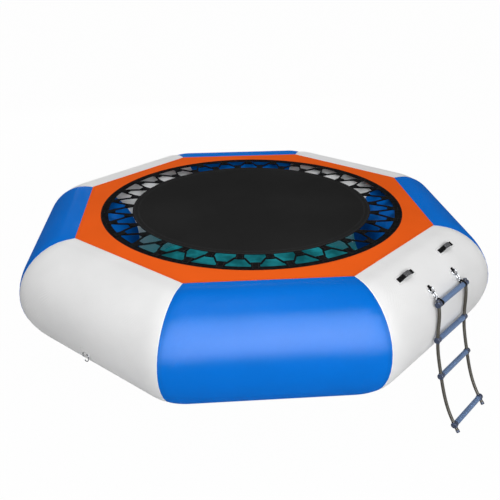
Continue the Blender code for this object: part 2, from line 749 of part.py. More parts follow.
def build_rung(index, place, parts, cutters):
    """One rung: a tube with a plugged cap at each end, bored for the rail."""
    number = index + 1
    frame = section_frame(LADDER_ANGLE) @ Matrix.Translation(place)
    lay_along = Matrix.Rotation(-HALF_TURN / 2, 4, "X")
    inner = RUNG_RADIUS - RUNG_WALL
    half = RUNG_TUBE_LENGTH / 2
    profile = [(RUNG_RADIUS, half), (RUNG_RADIUS, -half), (inner, -half), (inner, half)]
    rung = turned_object(
        f"rung_{number}", profile, RUNG_SIDES, "rung_blue", parts, frame @ lay_along, closed=True
    )
    smooth_by_angle(rung)
    way = rail_direction(index)
    for side, sign in SIDES:
        profile = [
            (0.0, CAP_LENGTH),
            (CAP_RADIUS - CAP_CHAMFER, CAP_LENGTH),
            (CAP_RADIUS, CAP_LENGTH - CAP_CHAMFER),
            (CAP_RADIUS, 0.0),
            (SPIGOT_RADIUS, 0.0),
            (SPIGOT_RADIUS, -CAP_SPIGOT_LENGTH),
            (0.0, -CAP_SPIGOT_LENGTH),
        ]
        seat = Matrix.Translation((0.0, sign * (half + SEAT_GAP), 0.0))
        outwards = Matrix.Rotation(-sign * HALF_TURN / 2, 4, "X")
        cap = turned_object(
            f"rung_{number}_cap_{side}", profile, RUNG_SIDES, "cap_black", parts, frame @ seat @ outwards
        )
        shape = bmesh.new()
        bmesh.ops.create_cone(
            shape, cap_ends=True, segments=RUNG_SIDES, radius1=RAIL_HOLE_RADIUS, radius2=RAIL_HOLE_RADIUS,
            depth=2 * (CAP_RADIUS + CUT_OVERRUN),
        )
        mesh = bmesh_to_mesh(f"rail_hole_{number}_{side}", shape)
        aim = way.to_track_quat("Z", "Y").to_matrix().to_4x4()
        hole_place = frame @ Matrix.Translation((0.0, sign * RAIL_SPACING / 2, 0.0)) @ aim
        cutter = add_object(f"rail_hole_{number}_{side}", mesh, "cap_black", cutters, hole_place)
        add_boolean(cap, cutter, "DIFFERENCE")


def smooth_by_angle(item):
    """Mark a turned object's generating mesh smooth; the modifier carries it on."""
    for modifier in item.modifiers:
        if modifier.type == "SCREW":
            modifier.use_smooth_shade = True


def hook_points():
    """Centre line of the snap hook's open body in its own YZ plane, from gate hinge to nose."""
    points = [(0.0, HOOK_END_LEAD - HOOK_FOOT_DEPTH, HOOK_BOW_RADIUS)]
    for step in range(HOOK_ARC_STEPS * 2 + 1):
        turn = HALF_TURN * step / (HOOK_ARC_STEPS * 2)
        points.append((0.0, -HOOK_FOOT_DEPTH - HOOK_BOW_RADIUS * math.sin(turn), HOOK_BOW_RADIUS * math.cos(turn)))
    for step in range(HOOK_ARC_STEPS * 2 + 1):
        turn = HALF_TURN * (1 - step / (HOOK_ARC_STEPS * 2))
        points.append((0.0, -HOOK_BOW_DEPTH + HOOK_BOW_RADIUS * math.sin(turn), HOOK_BOW_RADIUS * math.cos(turn)))
    points.append((0.0, -HOOK_BOW_DEPTH - HOOK_END_LEAD, HOOK_BOW_RADIUS))
    return points


def hook_eye_points():
    """Centre line of the hook's flat eye for the hanger strap, with clipped corners."""
    clip = HOOK_EYE_RADIUS
    half, top, foot = HOOK_EYE_HALF, -HOOK_EYE_TOP, -HOOK_EYE_FOOT
    return [
        (half - clip, top, 0.0), (half, top - clip, 0.0), (half, foot + clip, 0.0), (half - clip, foot, 0.0),
        (clip - half, foot, 0.0), (-half, foot + clip, 0.0), (-half, top - clip, 0.0), (clip - half, top, 0.0),
    ]


def build_snap_hook(side, frame, parts, cutters):
    """A snap hook on the D-ring: open bow with a flat eye below, and its gate."""
    name = f"snap_hook_{side}"
    body = curve_to_mesh(wire_curve(name, hook_points(), HOOK_WIRE_RADIUS))
    hook = add_object(name, body, "steel", parts, frame)
    eye_curve = wire_curve(f"{name}_eye", hook_eye_points(), HOOK_EYE_RADIUS, cyclic=True)
    eye = add_object(f"{name}_eye", curve_to_mesh(eye_curve), "steel", cutters, frame)
    add_boolean(hook, eye, "UNION")
    foot = HOOK_FOOT_DEPTH - HOOK_END_LEAD - GATE_HINGE_GAP
    nose = HOOK_BOW_DEPTH + HOOK_END_LEAD + SEAT_GAP
    gate_points = [(0.0, 0.0, 0.0), (0.0, foot - nose, 0.0)]
    hinge = frame @ Matrix.Translation((0.0, -foot, HOOK_BOW_RADIUS))
    gate = wire_curve(f"snap_gate_{side}", gate_points, GATE_RADIUS)
    add_object(f"snap_gate_{side}", gate, "steel", parts, hinge)


def belt_outline(small, large, distance, steps_small, steps_large):
    """Outline of a belt round two circles: the large one at 0, the small one at +X."""
    contact = math.acos((large - small) / distance)
    step_large = (HALF_TURN - contact) / steps_large
    step_small = contact / steps_small
    outline = []
    for step in range(2 * steps_large + 1):
        turn = contact + step * step_large
        reach = large / math.cos(step_large / 2)
        outline.append((reach * math.cos(turn), reach * math.sin(turn)))
    for step in range(2 * steps_small + 1):
        turn = step * step_small - contact
        reach = small / math.cos(step_small / 2)
        outline.append((distance + reach * math.cos(turn), reach * math.sin(turn)))
    return outline


def build_hanger(side, sign, bar, direction, rung_distance, parts):
    """The webbing loop from the hook's eye round the top rung."""
    distance = rung_distance - HOOK_EYE_FOOT
    rung_side = RUNG_RADIUS + SEAT_GAP
    eye_side = HOOK_EYE_RADIUS + SEAT_GAP
    inside = belt_outline(eye_side, rung_side, distance, 2, 4)
    outside = belt_outline(eye_side + HANGER_PLY, rung_side + HANGER_PLY, distance, 2, 4)
    mesh = outline_mesh(f"hanger_strap_{side}", (outside, inside), HANGER_WIDTH / 2)
    up_line = -direction
    run = Vector((0.0, 1.0, 0.0))
    frame = Matrix((up_line, run.cross(up_line), run)).transposed().to_4x4()
    frame.translation = bar + direction * rung_distance
    add_object(f"hanger_strap_{side}", mesh, "webbing_black", parts, section_frame(LADDER_ANGLE) @ frame)


def build_ladder(parts, cutters):
    """D-rings, hooks, hangers, four rungs and two bent rails."""
    places = rung_places()
    for side, sign in SIDES:
        along = LADDER_CENTRE + sign * HANGER_SPACING / 2
        label = f"ladder_{side}"
        bar = build_ring_station(
            label, LADDER_ANGLE, LADDER_FACET, along, LADDER_RING_UPHILL, "webbing_black", parts
        )
        target = Vector((places[0].x, along, places[0].z))
        direction = (target - bar).normalized()
        frame = hanging_frame(LADDER_ANGLE, bar, direction)
        points = d_ring_points(RING_BAR_HALF, RING_DEPTH)
        ring = wire_curve(f"{label}_ring", points, RING_WIRE_RADIUS, cyclic=True)
        add_object(f"{label}_ring", ring, "steel", parts, frame)
        build_snap_hook(side, frame, parts, cutters)
        build_hanger(side, sign, bar, direction, (target - bar).length, parts)
        build_rail(side, sign, places, parts)
    for index, place in enumerate(places):
        build_rung(index, place, parts, cutters)


def build_valve(tube, parts, cutters):
    """The inflation valve: body through the tube wall, sprung plunger and quarter-turn cap."""
    frame = facet_frame(VALVE_ANGLE, VALVE_FACET)
    flange_top = SEAT_GAP + VALVE_FLANGE_THICKNESS
    foot = -VALVE_BARREL_LENGTH
    ledge = foot + VALVE_SEAT_THICKNESS
    body = [
        (VALVE_NECK_RADIUS, VALVE_NECK_HEIGHT), (VALVE_NECK_RADIUS, flange_top),
        (VALVE_FLANGE_RADIUS, flange_top), (VALVE_FLANGE_RADIUS, SEAT_GAP),
        (VALVE_BARREL_RADIUS, SEAT_GAP), (VALVE_BARREL_RADIUS, foot),
        (VALVE_SEAT_RADIUS, foot), (VALVE_SEAT_RADIUS, ledge),
        (VALVE_BORE_RADIUS, ledge), (VALVE_BORE_RADIUS, VALVE_NECK_HEIGHT),
    ]
    turned_object("valve_body", body, VALVE_SIDES, "valve_grey", parts, frame, closed=True)
    poppet = foot - SEAT_GAP
    button = VALVE_BUTTON_LEVEL + VALVE_BUTTON_THICKNESS
    plunger = [
        (0.0, button), (VALVE_BUTTON_RADIUS, button), (VALVE_BUTTON_RADIUS, VALVE_BUTTON_LEVEL),
        (VALVE_STEM_RADIUS, VALVE_BUTTON_LEVEL), (VALVE_STEM_RADIUS, poppet),
        (VALVE_POPPET_RADIUS, poppet), (VALVE_POPPET_RADIUS, poppet - VALVE_POPPET_THICKNESS),
        (0.0, poppet - VALVE_POPPET_THICKNESS),
    ]
    turned_object("valve_plunger", plunger, VALVE_SIDES, "valve_grey", parts, frame)
    low = ledge + SEAT_GAP + SPRING_WIRE_RADIUS
    high = VALVE_BUTTON_LEVEL - SEAT_GAP - SPRING_WIRE_RADIUS
    count = SPRING_TURNS * SPRING_STEPS
    coil = []
    for step in range(count + 1):
        turn = 2 * HALF_TURN * step / SPRING_STEPS
        rise = low + (high - low) * step / count
        coil.append((SPRING_RADIUS * math.cos(turn), SPRING_RADIUS * math.sin(turn), rise))
    spring = wire_curve("valve_spring", coil, SPRING_WIRE_RADIUS, resolution=0)
    add_object("valve_spring", spring, "steel", parts, frame)
    inner = (VALVE_NECK_RADIUS + SEAT_GAP) / math.cos(HALF_TURN / VALVE_SIDES)
    outer = inner + VALVE_CAP_WALL
    ceiling = VALVE_NECK_HEIGHT + SEAT_GAP
    top = ceiling + VALVE_CAP_TOP
    rim = flange_top + SEAT_GAP
    cap_profile = [(0.0, top), (outer, top), (outer, rim), (inner, rim), (inner, ceiling), (0.0, ceiling)]
    cap = turned_object("valve_cap", cap_profile, VALVE_SIDES, "valve_grey", parts, frame)
    grip = bmesh.new()
    bmesh.ops.create_cube(grip, size=1.0)
    bmesh.ops.scale(grip, vec=(VALVE_GRIP_LENGTH, VALVE_GRIP_WIDTH, VALVE_GRIP_HEIGHT), verts=grip.verts)
    lift = Matrix.Translation((0.0, 0.0, top + VALVE_GRIP_HEIGHT / 2 - VALVE_CAP_TOP / 2))
    joiner = add_object("valve_grip", bmesh_to_mesh("valve_grip", grip), "valve_grey", cutters, frame @ lift)
    add_boolean(cap, joiner, "UNION")
    shape = bmesh.new()
    bmesh.ops.create_cone(
        shape, cap_ends=True, segments=VALVE_SIDES,
        radius1=VALVE_BARREL_RADIUS + SEAT_GAP, radius2=VALVE_BARREL_RADIUS + SEAT_GAP,
        depth=2 * (TUBE_WALL + CUT_OVERRUN),
    )
    cutter = add_object("valve_hole", bmesh_to_mesh("valve_hole", shape), "valve_grey", cutters, frame)
    add_boolean(tube, cutter, "DIFFERENCE")


def build_trampoline():
    """Build every piece of the trampoline."""
    clear_scene()
    parts = new_collection("water_trampoline")
    cutters = new_collection("cutters")
    tubes = {}
    for name, angle, finish_name in SECTIONS:
        tubes[angle] = build_tube_section(name, angle, finish_name, parts)
    build_apron(parts)
    build_mat(parts, cutters)
    build_lacing(parts)
    for side, sign in SIDES:
        build_handle(side, sign, parts)
    for label, angle in ANCHORS:
        build_anchor(label, angle, parts)
    build_ladder(parts, cutters)
    build_valve(tubes[VALVE_ANGLE], parts, cutters)


build_trampoline()
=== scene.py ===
"""Water trampoline studio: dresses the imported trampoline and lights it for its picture.

Metres, +Z up, with the origin at the octagon's centre on the plane of the tubes' undersides.
A section's own frame has X outwards, Y along the section and Z up. Every new surface is an
array of points over two parameters, or a profile carried along a path.
"""
import json
import math

import bmesh
import bpy
import numpy as np
from bpy.props import FloatProperty, FloatVectorProperty, IntProperty, PointerProperty
from mathutils import Matrix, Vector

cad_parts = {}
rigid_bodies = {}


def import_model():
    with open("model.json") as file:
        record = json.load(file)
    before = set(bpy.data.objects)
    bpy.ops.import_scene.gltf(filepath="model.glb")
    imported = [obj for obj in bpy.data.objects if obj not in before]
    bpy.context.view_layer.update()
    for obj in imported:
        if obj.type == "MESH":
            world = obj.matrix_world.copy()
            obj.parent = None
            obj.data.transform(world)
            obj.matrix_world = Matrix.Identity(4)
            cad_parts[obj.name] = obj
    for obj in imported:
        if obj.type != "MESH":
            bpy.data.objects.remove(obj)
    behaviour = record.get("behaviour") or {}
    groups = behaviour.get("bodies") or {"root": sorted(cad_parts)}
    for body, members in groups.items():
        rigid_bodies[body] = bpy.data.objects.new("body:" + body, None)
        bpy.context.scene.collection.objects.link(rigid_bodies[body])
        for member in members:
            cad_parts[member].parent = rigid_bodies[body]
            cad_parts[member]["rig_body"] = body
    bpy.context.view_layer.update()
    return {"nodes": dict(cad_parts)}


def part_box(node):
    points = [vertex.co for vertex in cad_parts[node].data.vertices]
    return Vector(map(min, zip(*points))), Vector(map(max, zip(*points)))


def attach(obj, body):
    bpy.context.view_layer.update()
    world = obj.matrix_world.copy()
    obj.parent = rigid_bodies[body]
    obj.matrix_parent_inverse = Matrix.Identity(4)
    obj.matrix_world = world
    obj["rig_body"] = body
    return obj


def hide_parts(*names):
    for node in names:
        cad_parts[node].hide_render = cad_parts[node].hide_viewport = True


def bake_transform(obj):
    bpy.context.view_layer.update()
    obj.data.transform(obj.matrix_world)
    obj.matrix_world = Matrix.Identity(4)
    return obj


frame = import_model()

bl_info = {
    "name": "Water Trampoline Studio",
    "version": (1, 0, 0),
    "blender": (4, 5, 0),
    "location": "View3D > Sidebar > Trampoline",
    "description": "Builds the skins, webbing, lacing, ladder and studio of a water trampoline",
    "category": "Object",
}

FRONT_LOW, FRONT_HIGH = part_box("tube_front_blue")

# Thicknesses and gaps that several pieces share
SEAT_GAP = 0.0003
WALL = 0.0009
STRAP_PLY = 0.0024
MERGE_DISTANCE = 1e-6

# The float's ellipse and facets, read from the front section's solid
TUBE_REACH = (FRONT_HIGH.y - FRONT_LOW.y) / 2
AXIS_RADIUS = -(FRONT_HIGH.y + FRONT_LOW.y) / 2
AXIS_HEIGHT = (FRONT_HIGH.z - FRONT_LOW.z) / 2
SECTION_TURN = 45.0
MITRE_SLOPE = math.tan(math.radians(SECTION_TURN / 2))
HALF_LENGTH = AXIS_RADIUS * MITRE_SLOPE
TUBE_SIDES = 26
FACET_STEP = 2 * math.pi / TUBE_SIDES
FACE_REACH = TUBE_REACH * math.cos(FACET_STEP / 2)
SECTIONS = (
    ("tube_right_blue", 0.0), ("tube_back_right_white", 45.0), ("tube_back_blue", 90.0),
    ("tube_back_left_white", 135.0), ("tube_left_blue", 180.0), ("tube_front_left_white", 225.0),
    ("tube_front_blue", 270.0), ("tube_front_right_white", 315.0),
)

# Where a tube starts to draw in, where a lap dips under its neighbour, both as shares of the half
# length, and the turns over which the apron's press grows and fades
SEAM_START_SHARE = 0.82
DIP_SHARES = (0.972, 0.998)
LAP_WIDTH = 0.035
LAP_CLEARANCE = 0.0006
PRESS_INSIDE = (-1.15, -0.55)
PRESS_OUTSIDE = (0.02, 0.30)

# Mean radii that make metres of a turn in the layouts
TUBE_SPREAD = 0.358
APRON_SPREAD = 1.1
MAT_SPREAD = 0.8

# Apron: the weld along its edge, the rolled hem and the ripple at its opening
APRON_EDGE = AXIS_RADIUS - 0.017
APRON_WELD = 0.024
WELD_RISE = 0.0004
HEM_RISE = 0.0007
RIPPLE = 0.0009
OPENING_RADIUS = 1.040
OPENING_LEVEL = 2 * AXIS_HEIGHT - 0.0134

# Webbing ring, hem and mat, with the radii of the rows of stitches
BAND = 0.003
RING_RADII = (0.990, 1.052)
RING_ROWS = (1.036, 1.046)
RING_TOP = OPENING_LEVEL - WALL - SEAT_GAP
MAT_RADIUS = 0.825
HEM_RADII = (0.775, MAT_RADIUS)
MAT_PLY = 0.0012
MAT_ROWS = (0.782, 0.788, 0.812, 0.818)
MAT_TOP = RING_TOP + SEAT_GAP + MAT_PLY
RING_FACETS = 60
HEM_EDGE = MAT_RADIUS * math.cos(math.pi / RING_FACETS)
RING_EDGE = RING_RADII[0] * math.cos(math.pi / RING_FACETS)

# Loops: (reach, width) of the two kinds, the tails sewn on and under the band, and the side view's
# root, half parting, step and trim
LOOP_COUNT = 30
LOOP_TURN = 2 * math.pi / LOOP_COUNT
LACING_PHASE = math.radians(-87.5)
LACING_LEVEL = RING_TOP - BAND / 2
MAT_LOOP = (0.0526, 0.050)
MAT_TAILS = (0.0, 0.038)
RING_LOOP = (0.0386, 0.054)
RING_TAILS = (0.030, 0.034)
LOOP_ROOT = 0.010
LOOP_PART = 0.0012
LOOP_STEP = 0.002
LOOP_TRIM = 0.006

# Bungee: its radius and its room beside a loop
CORD_RADIUS = 0.006
BEND_ROOM = 0.0045

# Patches as (length, width, corner), rings as (half width, depth)
PATCH = 0.0010
SEAT = SEAT_GAP + PATCH + SEAT_GAP
HANDLE_PATCH = (0.192, 0.056, 0.012)
RING_PATCH = (0.076, 0.076, 0.026)
RING_WIRE = 0.003
RING_SHOULDER = 0.010
LADDER_RING = (0.022, 0.034)
ANCHOR_RING = (0.026, 0.048)
KEEPER_WIDTH = 0.022
KEEPER_RADIUS = 0.0047
BAR_LIFT = SEAT + RING_WIRE

# Places on the tube: the section's angle, the facet, and metres along and uphill on it
LADDER_TURN = 315.0
HANDLE_FACET = 2
HANDLE_CENTRE = 0.010
HANDLE_APART = 0.251
HANDLE_UPHILL = -0.010
LADDER_FACET = 4
LADDER_CENTRE = 0.022
HANGER_HALF = 0.150
RING_UPHILL = 0.025
ANCHOR_FACET = 8
ANCHOR_ALONG = -0.006
ANCHOR_UPHILL = -0.012
ANCHORS = (("anchor_front_left", 225.0), ("anchor_back_left", 135.0), ("anchor_back_right", 45.0))
SIDES = (("left", -1), ("right", 1))

# Hand loops
HANDLE_WIDTH = 0.030
HANDLE_TRIM = 0.014
SLEEVE = (0.032, 0.0058)
SLEEVE_PITCH = 0.006

# Ladder: each rung's place out and up, and the rails' slope there
RUNG_OUT = (1.5256, 1.5482, 1.5968, 1.7204)
RUNG_UP = tuple(share * 2 * AXIS_HEIGHT for share in (0.720, 0.407, 0.092, -0.312))
RAIL_SLOPES = tuple(math.radians(slope) for slope in (-76, -84, -75, -55))
RUNG_RADIUS = 0.0165
RUNG_LENGTH = 0.326
CAP_RADIUS = 0.0185
CAP_LENGTH = 0.0290
CAP_GROOVE = CAP_RADIUS - 0.0006
BEAD_RADIUS = 0.0112
BEAD_WIRE = 0.0013
RAIL_HALF = 0.1775
RAIL_RADIUS = 0.010
RAIL_LEAD = 0.005
RAIL_TAIL = 0.016
PLUG_RADIUS = 0.0115
PLUG_LENGTH = 0.004
FOOT_LENGTH = 0.016
FOOT_WAIST = PLUG_RADIUS - 0.001

# Snap hooks and gates: depths are metres below the ring's bar
HOOK_WIRE = 0.003
BOW_RADIUS = 0.0078
BOW_DEPTH = LADDER_RING[1] - RING_WIRE - HOOK_WIRE - SEAT_GAP + BOW_RADIUS
FOOT_DEPTH = BOW_DEPTH + 0.016
EYE_WIRE = 0.0025
EYE_HALF = 0.0125
EYE_TOP = FOOT_DEPTH + BOW_RADIUS + HOOK_WIRE + EYE_WIRE - 0.0015
EYE_FOOT = EYE_TOP + 0.0110
COLLAR_HALF = 0.0042
GATE_RADIUS = 0.0022
PIN_RADIUS = 0.0013
PIN_HALF = 0.0036

# Profiles as (radius, height) from a rail's end, outwards, or over the valve's facet
RAIL_PLUG = [(0.0, PLUG_LENGTH), (PLUG_RADIUS, PLUG_LENGTH), (PLUG_RADIUS, 0.0), (0.0, 0.0)]
RAIL_FOOT = [
    (0.0, FOOT_LENGTH), (PLUG_RADIUS, FOOT_LENGTH), (PLUG_RADIUS, 0.012), (FOOT_WAIST, 0.011),
    (FOOT_WAIST, 0.009), (PLUG_RADIUS, 0.008), (PLUG_RADIUS, 0.0), (0.0, 0.0),
]
VALVE_BODY = [
    (0.018, 0.012), (0.018, 0.0028), (0.032, 0.0028), (0.032, 0.0003), (0.0165, 0.0003), (0.0165, -0.022),
    (0.0042, -0.022), (0.0042, -0.0195), (0.0135, -0.0195), (0.0135, 0.012),
]
VALVE_PLUNGER = [
    (0.0, 0.0065), (0.0065, 0.0065), (0.0065, 0.004), (0.0025, 0.004), (0.0025, -0.0223), (0.009, -0.0223),
    (0.009, -0.0243), (0.0, -0.0243),
]

# Valve
VALVE_TURN = 90.0
VALVE_FACET = 6
COIL_TURNS = 4
COIL_RADIUS = 0.0052
COIL_WIRE = 0.0006
COIL_ENDS = (-0.0186, 0.0031)
VALVE_CAP_BORE = 0.0183
VALVE_CAP_WALL = 0.0032
VALVE_CAP_RIB = 0.0005
VALVE_GRIP_HALF = 0.0155

# Picture and studio
PICTURE_PIXELS = 500
SENSOR = 36.0
WELL_RADIUS = 1.12
FLOOR_RADII = (0.0, 1.0, 2.0, 4.0, 9.0, 20.0, 40.0)
WHITE = (1.0, 1.0, 1.0, 1.0)


def linear(red, green, blue):
    """Linear colour of 0 to 255 screen values by the sRGB curve: v / 12.92 near black, and otherwise
    ((v + 0.055) / 1.055) to the power 2.4."""
    shares = np.array((red, green, blue)) / 255
    curve = np.where(shares <= 0.04045, shares / 12.92, ((shares + 0.055) / 1.055) ** 2.4)
    return tuple(float(value) for value in curve)


# Geometry


def unit(vectors):
    """Each vector divided by its own length."""
    return vectors / np.linalg.norm(vectors, axis=-1, keepdims=True)


def section_points(angle, out, along, height):
    """World points of section coordinates: (out, along) turned by the section's angle round Z."""
    turn = np.radians(angle)
    out, along, height = np.broadcast_arrays(out, along, height)
    x = out * np.cos(turn) - along * np.sin(turn)
    y = out * np.sin(turn) + along * np.cos(turn)
    return np.stack((x, y, height + 0 * x), axis=-1)


def round_points(radius, height, turn):
    """Points round Z: (radius cos(turn), radius sin(turn), height)."""
    x, y = radius * np.cos(turn), radius * np.sin(turn)
    return np.stack((x, y, height + 0 * x), axis=-1)


def full_turn(count):
    """Turns that divide a circle into count steps, with the last one back at the first."""
    return 2 * np.pi * np.arange(count + 1) / count


def tube_outline(turn, lift=0.0, scale=1.0):
    """The tube's ellipse: out = axis + A sin(turn), up = axis + B cos(turn), both moved by lift along
    the ellipse's normal (B sin(turn), A cos(turn))."""
    wide, tall = FACE_REACH * scale, AXIS_HEIGHT * scale
    size = np.hypot(tall * np.sin(turn), wide * np.cos(turn))
    out = AXIS_RADIUS + wide * np.sin(turn) + lift * tall * np.sin(turn) / size
    height = AXIS_HEIGHT + tall * np.cos(turn) + lift * wide * np.cos(turn) / size
    return out, height


def on_tube(angle, facet, along, uphill, lift):
    """Points over the tube: the facet's turn less uphill over the ellipse's metres per radian there,
    lifted along the normal."""
    centre = facet * FACET_STEP
    rate = math.hypot(FACE_REACH * math.cos(centre), AXIS_HEIGHT * math.sin(centre))
    out, height = tube_outline(centre - np.asarray(uphill) / rate, lift)
    return section_points(angle, out, along, height)


def facet_place(facet, along, uphill, lift):
    """Section coordinates over a facet's plane: its centre plus uphill along the slope and lift along
    the normal."""
    turn = facet * FACET_STEP
    slope = unit(np.array((-FACE_REACH * math.cos(turn), 0.0, AXIS_HEIGHT * math.sin(turn))))
    normal = np.array((slope[2], 0.0, -slope[0]))
    out, height = tube_outline(turn)
    return np.array((out, along, height)) + slope * uphill + normal * lift


def local_frame(angle, origin, right, up):
    """World origin and axes of a frame given in a section: X right, Y up, Z their cross product."""
    right, up = np.asarray(right, float), np.asarray(up, float)
    return tuple(section_points(angle, *vector) for vector in (origin, right, up, np.cross(right, up)))


def hanging_frame(angle, bar, way):
    """Frame at a bar: X along the section, -Y down the way that the piece hangs."""
    return local_frame(angle, bar, (0.0, 1.0, 0.0), -unit(np.asarray(way, float)))


def in_frame(axes, x, y, z):
    """World points: origin plus x, y and z times the frame's axes."""
    origin, right, up, out = axes
    x, y, z = np.broadcast_arrays(x, y, z)
    return origin + x[..., None] * right + y[..., None] * up + z[..., None] * out


def spun_points(axes, radius, turn, height):
    """World points round a frame's Z: radius (cos(turn) X + sin(turn) Y) + height Z."""
    return in_frame(axes, radius * np.cos(turn), radius * np.sin(turn), height + 0 * radius)


def radial_axes(turn):
    """Unit vectors at a turn round Z: outwards (cos, sin, 0) and along the circle (-sin, cos, 0)."""
    return np.array(((math.cos(turn), math.sin(turn), 0.0), (-math.sin(turn), math.cos(turn), 0.0)))


def rounded_path(corners, trim, closed=False, steps=6):
    """Corners turned into arcs (1-t)^2 entry + 2t(1-t) corner + t^2 exit, whose entry and exit lie trim
    metres from the corner, or 0.48 of the shorter side."""
    corners = np.asarray(corners, float)
    before, after = np.roll(corners, 1, 0) - corners, np.roll(corners, -1, 0) - corners
    trim = np.broadcast_to(np.asarray(trim, float), len(corners))
    before_size, after_size = np.linalg.norm(before, axis=1), np.linalg.norm(after, axis=1)
    reach = np.minimum(trim, 0.48 * np.minimum(before_size, after_size))
    entry = corners + before * (reach / np.maximum(before_size, 1e-12))[:, None]
    leave = corners + after * (reach / np.maximum(after_size, 1e-12))[:, None]
    share = np.linspace(0, 1, steps + 1)[None, :, None]
    arcs = (1 - share) ** 2 * entry[:, None] + 2 * share * (1 - share) * corners[:, None]
    arcs = arcs + share ** 2 * leave[:, None]
    if closed:
        return arcs.reshape(-1, corners.shape[1])
    return np.concatenate((corners[:1], arcs[1:-1].reshape(-1, corners.shape[1]), corners[-1:]))


def even_path(points, count):
    """The same path with count points at equal distances along it."""
    length = np.concatenate(([0.0], np.cumsum(np.linalg.norm(np.diff(points, axis=0), axis=1))))
    place = np.linspace(0.0, length[-1], count)
    return np.stack([np.interp(place, length, column) for column in points.T], axis=1)


def round_profile(radius, sides):
    """Circle of the given radius, and the distance round it at each corner."""
    turn = full_turn(sides)
    return radius * np.stack((np.cos(turn[:-1]), np.sin(turn[:-1])), axis=1), radius * turn


def rounded_corners(length, width, radius, steps):
    """A rectangle's rounded corners: for each step the centre of its corner's circle and its turn."""
    quarter = np.linspace(0.0, np.pi / 2, steps)
    turn = (np.arange(4)[:, None] * np.pi / 2 + quarter[None, :]).ravel()
    centre = np.repeat(np.array(((1, 1), (-1, 1), (-1, -1), (1, -1))), steps, axis=0)
    return centre * (length / 2 - radius, width / 2 - radius), turn


def strap_profile(width, thickness, steps=3):
    """Rectangle with rounded edges, each corner a quarter circle, and the place across the strap."""
    radius = 0.45 * thickness
    centre, turn = rounded_corners(width, thickness, radius, steps)
    points = centre + radius * np.stack((np.cos(turn), np.sin(turn)), axis=1)
    return points, np.append(points[:, 0], points[0, 0])


class Skin:
    """Points, faces, UVs and one extra value per point of a piece, gathered part by part. Each call
    that adds to the skin returns it."""

    def __init__(self):
        self.points, self.faces, self.layout, self.extra, self.total = [], [], [], [], 0

    def add(self, points, faces, layout, extra=0.0):
        """Take points, faces that number them from 0, and one UV for each face corner."""
        self.points.append(points)
        self.faces += (faces + self.total).tolist()
        self.layout.append(layout)
        self.extra.append(np.broadcast_to(extra, len(points)))
        self.total += len(points)
        return self

    def grid(self, points, run, across, wrap=False, loop=False, extra=0.0):
        """Quads between neighbouring rows and columns. wrap closes the columns and loop the rows, and
        the run and across grids have one column or row more there."""
        rows, columns = points.shape[:2]
        row, column = np.meshgrid(np.arange(rows - 1 + loop), np.arange(columns - 1 + wrap), indexing="ij")
        corners = ((row, column), (row + 1, column), (row + 1, column + 1), (row, column + 1))
        faces = np.stack([(i % rows) * columns + j % columns for i, j in corners], axis=-1).reshape(-1, 4)
        size = (rows + loop, columns + wrap)
        chart = np.stack((np.broadcast_to(run, size), np.broadcast_to(across, size)), axis=-1)
        layout = np.stack([chart[i, j] for i, j in corners], axis=2).reshape(-1, 2)
        extra = np.broadcast_to(extra, (rows, columns)).ravel()
        return self.add(points.reshape(-1, 3), faces, layout, extra)

    def cap(self, ring, run=0.0, across=0.0):
        """Triangles from a ring of points to its centre."""
        count = len(ring)
        index = np.arange(count)
        faces = np.stack((index, (index + 1) % count, np.full(count, count)), axis=1)
        layout = np.broadcast_to((run, across), (3 * count, 2))
        return self.add(np.concatenate((ring, ring.mean(0, keepdims=True))), faces, layout)

    def sweep(self, path, profile, side, closed=False, start=0.0):
        """Profile carried along a path: point + x side + y normal, where the side is squared to the
        path's tangent and the normal is side x tangent."""
        shape, across = profile
        path = np.asarray(path, float)
        ahead = np.roll(path, -1, 0) - np.roll(path, 1, 0) if closed else np.gradient(path, axis=0)
        tangent = unit(ahead)
        side = np.broadcast_to(np.asarray(side, float), path.shape)
        side = unit(side - (side * tangent).sum(1, keepdims=True) * tangent)
        normal = np.cross(side, tangent)
        points = path[:, None] + shape[None, :, :1] * side[:, None] + shape[None, :, 1:] * normal[:, None]
        ends = path[:1] if closed else path[-1:]
        steps = np.linalg.norm(np.diff(path, axis=0, append=ends), axis=1)
        run = start + np.concatenate(([0.0], np.cumsum(steps)))[: len(path) + closed]
        self.grid(points, run[:, None], across[None, :], wrap=True, loop=closed)
        if not closed:
            self.cap(points[0], run[0]).cap(points[-1], run[-1])
        return self

    def turn(self, profile, axes, sides=32, closed=False):
        """Profile of (radius, height) spun round a frame's Z."""
        profile = np.asarray(profile, float)
        angle = full_turn(sides)
        points = spun_points(axes, profile[:, :1], angle[None, :-1], profile[:, 1:])
        steps = np.linalg.norm(np.diff(profile, axis=0, append=profile[:1]), axis=1)
        run = np.concatenate(([0.0], np.cumsum(steps)))[: len(profile) + closed]
        across = angle * profile[:, 0].max()
        return self.grid(points, run[:, None], across[None, :], wrap=True, loop=closed)


